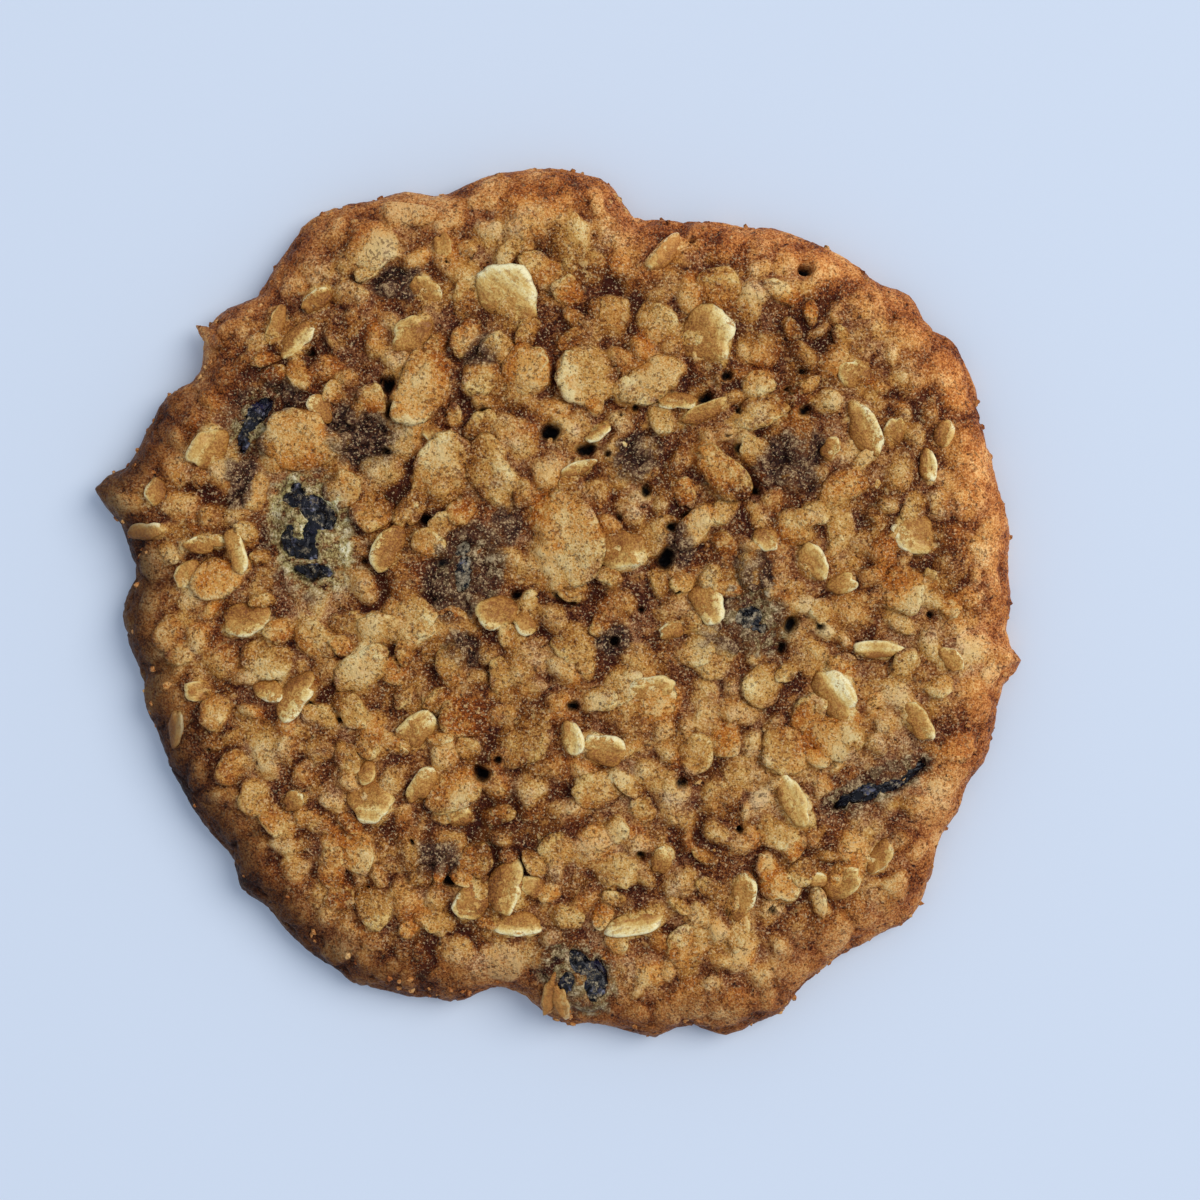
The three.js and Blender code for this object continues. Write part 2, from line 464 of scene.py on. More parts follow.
    def emboss(self, height: Socket, depth: float, strength: float = 1.0) -> None:
        """Gives the surface fine relief.

        Args:
            height: 0 to 1.
            depth: Depth of the relief in millimetres.
            strength: How strongly it shows.
        """
        node = self.tree.nodes.new("ShaderNodeBump")
        node.inputs["Strength"].default_value = strength
        node.inputs["Distance"].default_value = depth * MM
        self._put(node.inputs["Height"], height)
        self.feed(node.outputs["Normal"], "Normal")


# ---------------------------------------------------------------------------------------------
# What is baked into the cookie, in millimetres
# ---------------------------------------------------------------------------------------------


class Look(Enum):
    """How an oat shows: under the crust, partly bare, or bare."""

    COATED = "coated"
    TOASTED = "toasted"
    GOLDEN = "golden"
    PALE = "pale"
    WHITE = "white"
    GREY = "grey"


@dataclass(frozen=True)
class Coat:
    """What a look does to the crust over an oat and to its flake."""

    gold: float
    toast: float
    cream: float
    sharp: float
    flake: bool = False
    bare: bool = False
    sunk: float = 0.3
    tone: float = 0.5


COATS = {
    Look.COATED: Coat(gold=0.6, toast=0.3, cream=0.0, sharp=0.6),
    Look.TOASTED: Coat(gold=0.95, toast=0.85, cream=0.1, sharp=0.95, flake=True, sunk=0.5),
    Look.GOLDEN: Coat(gold=0.95, toast=0.2, cream=0.4, sharp=1.0, flake=True, sunk=0.46),
    Look.PALE: Coat(gold=0.95, toast=0.05, cream=0.5, sharp=1.0, flake=True, bare=True, sunk=0.3, tone=0.5),
    Look.WHITE: Coat(gold=0.95, toast=0.0, cream=0.6, sharp=1.0, flake=True, bare=True, sunk=0.16, tone=0.85),
    Look.GREY: Coat(gold=0.6, toast=0.0, cream=0.5, sharp=1.0, flake=True, bare=True, sunk=0.2, tone=0.65),
}


@dataclass(frozen=True)
class Oat:
    """A rolled oat: its middle, size, the turn of its long side, its look and how it lies."""

    x: float
    y: float
    length: float
    width: float
    turn: float = 0.0
    look: Look = Look.COATED
    rise: float = 1.2
    open_to: float = -60.0

    @property
    def tone(self) -> float:
        """How much lighter or darker than its neighbours it baked, -1 to 1."""
        return math.sin(9.1 * self.x + 4.3 * self.y)

    @property
    def browning(self) -> float:
        """How far it browned, 0 to 1, more towards the rim."""
        share = 0.5 + 0.5 * math.sin(12.9 * self.x + 7.8 * self.y)
        return share**2 * min(1.0, math.hypot(self.x - 2, self.y - 6) / 34)


@dataclass(frozen=True)
class Oval:
    """An oval place on the crust: its middle, size and turn."""

    x: float
    y: float
    length: float
    width: float
    turn: float = 0.0


COATED, TOASTED, GOLDEN, PALE, WHITE, GREY = Look

OATS = (
    # top lobe
    Oat(-6.1, 35.7, 7.6, 6.8, -40, WHITE, 1.2, 70),
    Oat(-3.3, 45.9, 9.0, 8.0, 20, COATED, 1.7),
    Oat(1.1, 42.9, 6.6, 5.4, 90, GOLDEN, 1.3, 10),
    Oat(-21.9, 42.3, 6.4, 5.8, 10, TOASTED, 1.5),
    Oat(-18.1, 45.7, 7.2, 2.8, -5, TOASTED, 1.2, 90),
    Oat(-17.1, 31.7, 5.4, 3.9, 30, PALE, 1.1, 130),
    Oat(-16.1, 25.3, 10.8, 6.2, 70, TOASTED, 1.8, -120),
    Oat(-9.3, 26.7, 5.4, 4.2, 80, GOLDEN, 1.2, -90),
    Oat(-3.7, 27.5, 6.2, 5.4, 80, TOASTED, 1.8, 0),
    Oat(3.3, 26.7, 7.2, 6.8, 0, GOLDEN, 1.4, 180),
    Oat(5.9, 33.9, 5.2, 4.8, 10, GOLDEN, 1.2, 60),
    Oat(17.7, 30.9, 7.2, 6.4, 75, PALE, 1.2, 20),
    Oat(11.1, 26.3, 7.8, 4.8, 35, GOLDEN, 1.4, -60),
    Oat(12.5, 41.1, 5.4, 2.4, 50, PALE, 1.0, 140),
    Oat(19.0, 36.7, 5.4, 5.0, 0, GOLDEN, 1.1, 90),
    Oat(26.5, 36.5, 5.0, 2.2, -30, TOASTED, 1.2, 90),
    Oat(-28.5, 35.7, 4.4, 2.2, 35, PALE, 0.9, 120),
    Oat(-30.7, 30.9, 5.4, 2.8, 50, PALE, 1.0, -40),
    Oat(-33.5, 32.7, 4.8, 2.0, 75, PALE, 1.0, 170),
    Oat(-41.5, 31.5, 4.2, 1.6, -40, TOASTED, 1.0, 120),
    # left
    Oat(-30.7, 18.9, 9.2, 7.6, 5, TOASTED, 2.1, 100),
    Oat(-41.3, 18.3, 5.2, 4.2, 60, WHITE, 1.2, 150),
    Oat(-25.3, 13.1, 4.8, 4.2, 70, GOLDEN, 1.3, 30),
    Oat(-41.3, 6.9, 5.0, 2.2, 5, PALE, 1.7, 90),
    Oat(-37.9, 5.7, 5.6, 2.4, -75, PALE, 1.9, 0),
    Oat(-40.1, 2.9, 6.4, 5.0, 20, TOASTED, 1.7, -60),
    Oat(-48.7, 8.5, 4.6, 2.1, 10, WHITE, 1.0, 90),
    Oat(-47.5, 12.9, 3.4, 2.4, 80, PALE, 1.0, 180),
    Oat(-46.1, 5.7, 3.0, 2.2, -60, GOLDEN, 1.0),
    Oat(-43.9, 3.3, 3.6, 2.6, 60, PALE, 1.2, 180),
    Oat(-36.7, -2.1, 6.2, 3.8, 20, PALE, 1.2, -70),
    Oat(-34.3, -6.9, 5.8, 5.2, -20, GOLDEN, 1.3, -70),
    Oat(-33.7, -10.5, 4.0, 2.6, -15, PALE, 1.0, -80),
    Oat(-30.7, -11.1, 6.4, 3.6, 50, PALE, 1.2, -40),
    Oat(-45.1, -14.7, 4.8, 1.9, 80, WHITE, 0.9, 0),
    Oat(-46.0, -3.8, 4.2, 3.0, 70, GOLDEN, 1.2, 180),
    Oat(-44.3, -6.0, 3.6, 3.4, 10, GOLDEN, 1.1, -100),
    Oat(-40.5, -13.0, 4.6, 3.6, 60, TOASTED, 1.1),
    Oat(-38.5, -19.8, 4.4, 3.2, 70, GOLDEN, 1.1, 170),
    Oat(-35.8, -23.0, 4.6, 3.8, 90, GOLDEN, 1.1, -120),
    # upper middle
    Oat(-13.9, 15.3, 10.2, 6.0, 75, GOLDEN, 1.6, 110),
    Oat(-7.9, 15.3, 7.8, 5.4, -65, GOLDEN, 1.4, 10),
    Oat(-19.7, 6.3, 6.0, 3.4, 65, PALE, 1.3, 180),
    Oat(-15.3, 6.7, 4.0, 3.7, 0, GOLDEN, 1.3, 60),
    Oat(0.5, 6.9, 12.0, 7.8, -85, TOASTED, 2.2, 0),
    Oat(7.7, 5.9, 6.0, 4.8, 0, PALE, 1.3, -60),
    Oat(18.7, 15.5, 8.4, 4.2, -45, TOASTED, 2.2, 45),
    Oat(16.1, 8.7, 6.2, 3.2, 60, TOASTED, 1.7, -20),
    Oat(17.3, -0.3, 5.2, 3.8, -60, GREY, 1.1, -30),
    Oat(11.3, -11.7, 6.4, 5.8, 10, TOASTED, 1.5, 90),
    Oat(10.8, -10.4, 5.2, 3.0, 15, PALE, 1.5, 90),
    Oat(23.3, 25.5, 3.6, 3.3, 0, GOLDEN, 1.3, -60),
    Oat(23.5, 21.9, 7.2, 3.6, 20, GOLDEN, 1.4, -70),
    Oat(17.3, 22.3, 6.0, 2.0, 25, PALE, 1.2, 110),
    Oat(13.9, 23.5, 5.0, 2.0, 5, PALE, 1.3, -90),
    Oat(4.9, 19.9, 3.4, 1.4, 35, WHITE, 1.0, -60),
    Oat(2.3, 15.5, 4.4, 1.7, 25, PALE, 1.1, 110),
    Oat(12.2, 21.3, 4.0, 3.0, -60, GOLDEN, 1.1),
    # lower middle
    Oat(-3.7, -15.9, 7.4, 5.2, 60, GOLDEN, 1.3, -30),
    Oat(1.5, -16.1, 4.4, 2.4, -75, WHITE, 1.1, 0),
    Oat(4.9, -17.3, 5.2, 3.7, -10, PALE, 1.2, 80),
    Oat(16.1, -17.7, 5.0, 4.2, 80, GOLDEN, 1.1, 20),
    Oat(4.7, -21.9, 5.6, 4.8, 0, GOLDEN, 1.2, 150),
    Oat(-24.7, -18.3, 4.8, 2.8, -60, GOLDEN, 1.0, 20),
    Oat(-21.9, -23.7, 5.6, 5.2, 0, GREY, 1.1, -60),
    Oat(-15.7, -21.3, 4.8, 2.8, 50, PALE, 1.0, 130),
    Oat(-12.1, -21.9, 7.2, 4.6, 15, TOASTED, 1.4, -60),
    Oat(-6.1, -33.9, 6.2, 4.6, 75, PALE, 1.2, -10),
    Oat(-5.3, -38.1, 6.4, 2.8, -5, WHITE, 1.1, -90),
    Oat(9.5, -37.7, 6.8, 2.8, 15, WHITE, 1.1, -80),
    Oat(21.5, -34.5, 5.6, 3.2, 80, PALE, 1.1, 20),
    Oat(27.7, -23.5, 6.8, 3.0, -65, WHITE, 1.2, 20),
    Oat(-17.5, -2.1, 6.2, 6.0, 0, GOLDEN, 1.4, -30),
    Oat(-22.9, -8.1, 7.2, 4.8, 30, GOLDEN, 1.2, 100),
    Oat(-1.1, -46.3, 5.0, 1.8, 75, PALE, 1.3, 180),
    Oat(0.3, -47.2, 4.6, 1.8, -70, PALE, 1.3, 0),
    # right
    Oat(32.9, -11.1, 6.8, 4.2, -60, WHITE, 1.1, 30),
    Oat(37.5, -5.7, 5.6, 2.2, 0, WHITE, 1.0, 90),
    Oat(40.7, 1.5, 6.0, 5.4, 0, TOASTED, 1.5, -60),
    Oat(42.3, -14.1, 5.0, 2.8, -60, PALE, 1.0, 30),
    Oat(43.7, 15.9, 4.4, 1.9, -80, WHITE, 0.9, 0),
    Oat(45.5, 20.1, 3.2, 2.5, 70, PALE, 0.9, 0),
    Oat(30.5, -32.7, 2.2, 2.0, 0, WHITE, 1.1, 90),
    Oat(25.7, -27.3, 4.8, 3.6, -20, GOLDEN, 1.1, -40),
    Oat(26.1, -33.3, 4.6, 4.2, 0, TOASTED, 1.3),
    Oat(37.9, -30.3, 4.4, 2.5, 60, PALE, 1.0, -30),
    Oat(46.1, -6.9, 3.4, 2.4, -50, PALE, 0.9, 40),
    Oat(35.9, 20.7, 7.2, 3.4, -65, PALE, 1.1, 30),
    Oat(27.5, 8.7, 4.8, 4.5, 0, GOLDEN, 1.2, 45),
    Oat(29.9, 4.5, 5.0, 3.0, -50, PALE, 1.1, 30),
)

PITS = (
    Oval(-20.1, 25.6, 1.7, 1.3, 80),
    Oval(-19.7, 22.5, 2.2, 1.5, 80),
    Oval(-21.7, 11.7, 2.4, 1.9, 20),
    Oval(-20.4, 17.7, 0.9, 0.8),
    Oval(-0.9, 20.0, 2.2, 1.7, 70),
    Oval(3.3, 18.1, 2.6, 1.3, 10),
    Oval(-0.6, 12.4, 1.0, 0.9),
    Oval(-15.7, 9.7, 1.1, 1.0),
    Oval(-13.4, 4.7, 1.4, 1.0),
    Oval(-8.6, 22.1, 1.4, 1.1),
    Oval(-3.8, 31.4, 0.9, 0.8),
    Oval(9.0, 23.1, 0.8, 0.8),
    Oval(17.2, 23.9, 1.8, 1.0, 30),
    Oval(19.6, 26.7, 1.5, 1.2),
    Oval(28.9, 22.5, 1.6, 1.3),
    Oval(28.8, 27.1, 0.9, 0.8),
    Oval(26.8, 25.0, 0.9, 0.7),
    Oval(21.5, 17.8, 1.9, 1.2, -20),
    Oval(21.1, 12.9, 1.9, 1.5, 40),
    Oval(22.9, 13.1, 1.3, 0.9),
    Oval(13.2, 8.5, 1.6, 1.1),
    Oval(15.5, 10.1, 1.6, 1.0, 30),
    Oval(12.6, 5.0, 2.6, 1.8, 60),
    Oval(14.1, 1.5, 1.1, 0.9),
    Oval(10.3, 13.0, 1.6, 1.1, 80),
    Oval(6.5, -4.7, 1.2, 1.0),
    Oval(-4.1, -3.4, 0.8, 0.7),
    Oval(-5.0, 0.9, 1.2, 0.9),
    Oval(1.7, -12.2, 1.4, 1.0),
    Oval(0.9, 0.4, 3.0, 0.8, -20),
    Oval(27.4, -2.9, 2.2, 1.7, 60),
    Oval(26.3, -5.6, 1.4, 0.8, 80),
    Oval(30.5, -2.7, 1.1, 0.9),
    Oval(22.6, -1.4, 0.9, 0.8),
    Oval(-9.0, -20.1, 1.8, 1.6),
    Oval(-7.1, -18.7, 0.9, 0.8),
    Oval(14.4, -21.3, 1.3, 0.9),
    Oval(9.7, -29.8, 1.2, 1.0),
    Oval(-12.8, -32.8, 1.8, 1.2),
    Oval(-11.0, -35.5, 1.1, 0.8, 90),
    Oval(-18.6, -6.8, 2.2, 0.6, 60),
    Oval(-29.0, -12.2, 0.9, 0.7, 40),
    Oval(-25.9, -13.9, 0.8, 0.7),
    Oval(29.4, 39.4, 1.8, 1.3),
    Oval(18.4, -16.9, 0.8, 0.7),
)

# Places where a raisin lies under the crust and its juice has darkened it.
STAINS = (
    Oval(27.5, 16.5, 9, 8),
    Oval(-22.9, 19.4, 8, 10, 70),
    Oval(-14.3, -30.3, 6, 5),
    Oval(-18.7, 37.5, 6, 6),
    Oval(9.5, 17.1, 7, 6, 60),
    Oval(19.7, -3.9, 7, 5),
    Oval(-6.7, 8.1, 6, 4, 70),
    Oval(14.0, 6.5, 4, 6, 0),
    Oval(-37.5, 14.5, 4, 9, 0),
    Oval(2.0, -44.0, 11, 8, -30),
    Oval(6.5, -4.5, 5, 4, 30),
    Oval(-11.5, -5.5, 5, 6, 60),
    Oval(-9.0, 29.5, 5, 4, 20),
    Oval(23.5, 3.0, 5, 7, 20),
    Oval(-33.0, 24.0, 6, 5, 40),
)


@dataclass(frozen=True)
class Bed:
    """How one raisin lies: its CAD node, its size and turn, its crumbs, and where the crust is torn."""

    node: str
    length: float
    width: float
    turn: float
    film: float
    dust: float
    tears: tuple[Oval, ...]


BEDS = (
    Bed("raisin_torn_skin", 13.0, 8.8, 107, 1.0, 0.35, (
        Oval(-31.2, 12.7, 3.4, 2.6, -60),
        Oval(-28.1, 10.5, 5.0, 3.0, -42),
        Oval(-29.0, 8.0, 3.6, 1.7, 75),
        Oval(-30.4, 6.2, 4.8, 2.3, -12),
        Oval(-31.9, 7.6, 2.8, 1.5, 80),
        Oval(-29.7, 3.3, 6.4, 2.0, 5),
    )),
    Bed("raisin_on_edge", 13.5, 3.6, 24, 0.3, 0.1, (
        Oval(33.2, -24.2, 3.4, 1.3, 50),
        Oval(36.2, -22.6, 4.6, 1.7, 18),
        Oval(39.2, -21.8, 3.4, 1.2, 8),
        Oval(41.6, -20.6, 3.2, 1.3, 40),
        Oval(43.1, -19.3, 2.8, 1.5, 48),
    )),
    Bed("raisin_by_notch", 9.5, 7.0, -42, 0.4, 0.4, (
        Oval(4.5, -44.6, 5.4, 2.4, 80),
        Oval(2.6, -42.6, 3.6, 2.0, -50),
        Oval(0.9, -45.0, 2.6, 1.7, 60),
    )),
    Bed("raisin_in_hollow", 11.0, 8.0, 62, 0.2, 1.15, (
        Oval(-7.0, 9.2, 3.0, 1.7, 72),
        Oval(-11.4, 6.2, 2.2, 1.5, 30),
        Oval(-11.2, 3.2, 4.2, 2.0, 82),
    )),
    Bed("raisin_flat", 9.0, 7.2, -30, 0.35, 0.8, (
        Oval(22.5, -1.7, 3.4, 2.3, 15),
        Oval(23.6, -3.1, 1.6, 1.1, -30),
    )),
    Bed("raisin_by_lump", 8.0, 4.6, 62, 0.6, 0.3, (
        Oval(-35.4, 22.2, 4.8, 2.2, 50),
        Oval(-37.2, 19.0, 3.2, 1.4, 80),
    )),
)


# ---------------------------------------------------------------------------------------------
# The crust
# ---------------------------------------------------------------------------------------------


@dataclass
class Outline:
    """The cookie's edge, read from the CAD node."""

    node: Piece
    rim_height: float = RIM_HEIGHT
    angles: Array = field(init=False)
    radii: Array = field(init=False)

    def __post_init__(self) -> None:
        """Collects the vertices of the widest line in order of their angle."""
        places = Steps.places(self.node)
        radii = np.hypot(places[:, 0], places[:, 1])
        widest = (np.abs(places[:, 2] - self.rim_height) < 0.1) & (radii > 0.75 * radii.max())
        angles = np.arctan2(places[widest, 1], places[widest, 0])
        self.angles, first = np.unique(np.round(angles, 4), return_index=True)
        self.radii = radii[widest][first]

    def radius(self, angle: Array) -> Array:
        """Radius of the widest line at an angle in radians."""
        return np.interp(angle, self.angles, self.radii, period=2 * math.pi)


@dataclass
class Section:
    """The cookie's section from its middle, over the rim and down to its foot."""

    outline: Outline
    crown: float = 9.0
    shoulder: float = 5.6
    rim_height: float = RIM_HEIGHT
    rim_width: float = 5.2
    foot_tuck: float = 1.3

    def dome(self, share: Array) -> Array:
        """Height of the crust at a share of the radius."""
        return self.shoulder + (self.crown - self.shoulder) * (1 - share**3)

    def spans(self, angle: Array) -> tuple[Array, Array, Array, Array]:
        """Lengths along the section at an angle.

        Args:
            angle: Radians.

        Returns:
            The radius, and how long the crust, the rim's round and the wall are.
        """
        radius = self.outline.radius(angle)
        crust = radius - self.rim_width
        drop = self.dome(crust / radius) - self.rim_height
        quarter = math.pi / 2 * math.sqrt(0.5)
        bend = quarter * np.sqrt(self.rim_width**2 + drop**2)
        wall = quarter * math.sqrt(self.foot_tuck**2 + self.rim_height**2) + 0 * radius
        return radius, crust, bend, wall

    def place(self, angle: Array, along: Array) -> tuple[Array, Array]:
        """Point and outward direction at a length along the section.

        Args:
            angle: Radians.
            along: Millimetres from the middle, along the surface.

        Returns:
            Points and unit directions, one row each.
        """
        radius, crust, bend, wall = self.spans(angle)
        rim_turn = np.clip((along - crust) / bend, 0, 1) * math.pi / 2
        foot_turn = np.clip((along - crust - bend) / wall, 0, 1) * math.pi / 2
        drop = self.dome(crust / radius) - self.rim_height
        out = np.where(along < crust, along, crust + self.rim_width * np.sin(rim_turn))
        out = out - self.foot_tuck * (1 - np.cos(foot_turn))
        high = np.where(along < crust, self.dome(along / radius), self.rim_height + drop * np.cos(rim_turn))
        high = high - self.rim_height * np.sin(foot_turn)
        lean = rim_turn + foot_turn
        points = np.stack([out * np.cos(angle), out * np.sin(angle), high], -1)
        ways = np.stack([np.sin(lean) * np.cos(angle), np.sin(lean) * np.sin(angle), np.cos(lean)], -1)
        return points, ways

    @staticmethod
    def flat(angle: Array, along: Array) -> tuple[Array, Array]:
        """Place of a point of the section on the crust rolled out flat."""
        return along * np.cos(angle), along * np.sin(angle)

    def along(self, x: Array, y: Array) -> tuple[Array, Array]:
        """Angle and length along the section of the point seen at a place from above.

        Args:
            x: Places along X.
            y: Places along Y.

        Returns:
            Angles in radians, and lengths from the middle in millimetres.
        """
        angle, out = np.arctan2(y, x), np.hypot(x, y)
        _, crust, bend, _ = self.spans(angle)
        turn = np.arcsin(np.clip((out - crust) / self.rim_width, 0, 1))
        return angle, np.where(out < crust, out, crust + bend * turn / (math.pi / 2))


# What the relief hands to the materials, one number for each place.
MASKS = ("lift", "gold", "toast", "cream", "stain", "pit", "rim", "film", "baked")


@dataclass
class Relief:
    """Height and colour masks of the crust's detail, over the crust rolled out flat."""

    section: Section
    reach: float = 66.0
    step: float = 0.2
    seed: int = 11
    oat_tries: int = 9000
    most_oats: int = 460
    oats_to: float = 53.5
    small_pits: int = 34
    pits_to: float = 46.0
    lit_from: float = 38.0
    shaded_from: float = 200.0
    less_shaded_from: float = 275.0

    def __post_init__(self) -> None:
        """Lays out the sheet and works out every layer."""
        axis = np.arange(-self.reach, self.reach + self.step / 2, self.step)
        self.x, self.y = np.meshgrid(axis, axis)
        self.noise = Noise(self.seed)
        self.random = random.Random(self.seed)
        angle = np.arctan2(self.y, self.x)
        radius = self.section.outline.radius(angle)
        self.inward = radius - np.hypot(self.x, self.y)
        blank = np.zeros_like(self.x)
        self.lumps = blank - 0.25
        self.crevice, self.covered, self.tones = blank.copy(), blank.copy(), blank.copy()
        self.masks = {name: blank.copy() for name in MASKS}
        self.oats = [*OATS, *self._scattered_oats()]
        self._lay_crumbs()
        for oat in sorted(self.oats, key=lambda oat: oat.rise):
            self._lay_oat(oat)
        self._finish_height()
        self._stain()
        self._dig_pits()

    def _window(self, oval: Oval | Oat, margin: float) -> tuple[slice, slice]:
        """Rows and columns of the sheet around a place.

        Args:
            oval: The place.
            margin: Extra width on each side.

        Returns:
            The rows and the columns.
        """
        half = oval.length / 2 + margin

        def span(middle: float) -> slice:
            """Finds the indices within half of a middle.

            Args:
                middle: Millimetres.

            Returns:
                The indices.
            """
            low = int((middle - half + self.reach) / self.step)
            high = int((middle + half + self.reach) / self.step) + 2
            return slice(max(low, 0), max(high, 0))

        return span(oval.y), span(oval.x)

    def _inside(self, oval: Oval | Oat, at: tuple[slice, slice], ragged: float) -> tuple[Array, Array, Array]:
        """Coordinates in an oval whose edge is uneven.

        Args:
            oval: The place.
            at: Rows and columns.
            ragged: Depth of the uneven edge, in millimetres.

        Returns:
            Distance from the middle, 1 at the edge, then the place along and across the oval.
        """
        x, y = self.x[at] - oval.x, self.y[at] - oval.y
        shift = oval.x * 3.7 + oval.y * 1.9
        x = x + ragged * self.noise.layers(self.x[at] + shift, self.y[at], 3.4, 3, 0.45)
        y = y + ragged * self.noise.layers(self.x[at], self.y[at] - shift, 3.4, 3, 0.45)
        along, across = spin(x, y, -math.radians(oval.turn))
        square = 2.1 + 0.9 * (math.sin(shift * 5.1) + 1) / 2
        q = np.abs(along / (oval.length / 2)) ** square + np.abs(across / (oval.width / 2)) ** square
        return q ** (1 / square), along, across

    def _scattered_oats(self) -> list[Oat]:
        """Oats between the listed ones, no two too close.

        Returns:
            The oats.
        """
        chosen: list[Oat] = []
        looks = (COATED,) * 8 + (TOASTED,) * 2 + (GOLDEN,) * 3 + (PALE,)
        for _ in range(self.oat_tries):
            out = self.oats_to * math.sqrt(self.random.random())
            angle = self.random.uniform(-math.pi, math.pi)
            x, y = out * math.cos(angle), out * math.sin(angle)
            length = self.random.uniform(2.8, 6.4)
            width = length * self.random.uniform(0.5, 0.92)
            look = self.random.choice(looks)
            rise = self.random.uniform(0.6, 1.35)
            turn, open_to = self.random.uniform(0, 180), self.random.uniform(0, 360)
            edge = float(self.section.outline.radius(np.array(angle)))
            near = any(
                math.hypot(x - other.x, y - other.y) < 0.31 * (length + other.length)
                for other in (*OATS, *chosen)
            )
            on_raisin = any(
                math.hypot(x - tear.x, y - tear.y) < 0.4 * length + 0.5 * tear.length + 0.6
                for bed in BEDS
                for tear in bed.tears
            )
            if near or on_raisin or out > edge - 2.5 or len(chosen) > self.most_oats:
                continue
            if out > edge - 7:
                look, rise = COATED, 0.7 * rise
            chosen.append(Oat(x, y, length, width, turn, look, rise, open_to))
        return chosen

    def _lay_crumbs(self) -> None:
        """Covers the crust with the small lumps of the crumb."""
        warp_x = self.x + 0.6 * self.noise.waves(self.x, self.y, 2.2)
        warp_y = self.y + 0.6 * self.noise.waves(self.y, self.x, 2.2)
        beads = 1 - self.noise.cells(warp_x, warp_y, 1.7) ** 2
        rough = self.noise.layers(warp_x + 17, warp_y - 8, 4.8, 4, 0.46)
        patches = smooth_step(-0.4, 0.5, self.noise.layers(self.x, self.y, 9, 2))
        crumbs = 0.64 * rough + 0.12 * beads * (0.4 + 0.6 * patches)
        self.lumps = self.lumps + self._calm(self.inward, 0.4) * crumbs
        self.masks["gold"] += 0.6 * smooth_step(0.0, 0.45, rough + 0.15 * beads)

    def _lay_oat(self, oat: Oat) -> None:
        """Raises the crust over one oat and colours it.

        Args:
            oat: The oat.
        """
        at = self._window(oat, 1.5)
        q, along, across = self._inside(oat, at, 0.15 * oat.length + 0.2)
        coat = COATS[oat.look]
        facing = math.radians(oat.open_to - oat.turn)
        uphill = (along * math.cos(facing) + across * math.sin(facing)) / (oat.length / 2)
        crisp = np.sqrt(np.clip(1 - q**5, 0, 1))
        melted = np.exp(-1.7 * q**3.2)
        wavering = uphill + 0.3 * self.noise.waves(self.x[at], self.y[at], 3.0)
        sharp = coat.sharp * smooth_step(-0.5, 0.5, wavering)
        cap = melted + (crisp - melted) * sharp
        low = -0.3
        height = low + (oat.rise - 0.2 * coat.flake - low) * cap * (0.88 + 0.2 * uphill)
        dents = self.noise.layers(self.x[at] + oat.x, self.y[at] + 3 * oat.y, 2.6, 3, 0.6)
        bumpy = 0.35 if coat.flake else 1.0
        height = height + bumpy * (0.28 * dents - 0.2 * smooth_step(0.12, 0.0, np.abs(dents))) * cap
        height = height * np.where(height > 0, self._calm(self.inward[at], 0.65), 1)
        before = self.lumps[at]
        over = smooth_step(-0.15, 0.2, height - before) * smooth_step(1.08, 0.85, q)
        self.lumps[at] = soft_max(height, before, 0.12)
        broken = smooth_step(-0.25, 0.35, self.noise.layers(self.x[at] - 12, self.y[at] + 25, 3.0, 2))
        gap = np.exp(-(((q - 1.1) / 0.12) ** 2)) * (0.15 + 0.85 * sharp) * broken
        gap = gap * smooth_step(0.4, 0.0, before - height)
        self.crevice[at] = np.maximum(self.crevice[at] * (1 - over), gap)
        self.covered[at] = self.covered[at] * (1 - over) + coat.flake * over
        crumb = self.noise.layers(self.x[at] + 50, self.y[at], 2.2, 3, 0.7)
        self.tones[at] = self.tones[at] * (1 - over) + oat.tone * over
        bare = smooth_step(-0.25, 0.35, uphill + 0.5 * crumb - (0.35 if oat.look is GOLDEN else -0.5))
        wanted = {
            "gold": coat.gold * (0.85 + 0.3 * crumb),
            "toast": (coat.toast + 0.45 * oat.browning) * np.clip(0.8 + 0.7 * crumb - 0.3 * uphill, 0, 1),
            "cream": coat.cream * (1.2 - 0.8 * oat.browning) * bare,
        }
        for name, value in wanted.items():
            mask = self.masks[name]
            mask[at] = mask[at] + (np.clip(value, 0, 1) - mask[at]) * over

    def _calm(self, inward: Array, share: float) -> Array:
        """How strong the relief stays near the rim, where it is weaker by a share."""
        return 1 - share * smooth_step(7, 2, inward)

    def _towards(self, azimuth: float) -> Array:
        """How far each place lies towards an azimuth in degrees, -1 to 1."""
        return np.cos(np.arctan2(self.y, self.x) - math.radians(azimuth))

    def _blur(self, sheet: Array, width: float) -> Array:
        """Smooths a sheet.

        Args:
            sheet: Heights.
            width: Standard deviation in millimetres.

        Returns:
            The smoothed heights.
        """
        rows = np.fft.fftfreq(sheet.shape[0], self.step)[:, None]
        columns = np.fft.rfftfreq(sheet.shape[1], self.step)[None, :]
        keep = np.exp(-2 * (math.pi * width) ** 2 * (rows**2 + columns**2))
        return np.fft.irfft2(np.fft.rfft2(sheet) * keep, sheet.shape)

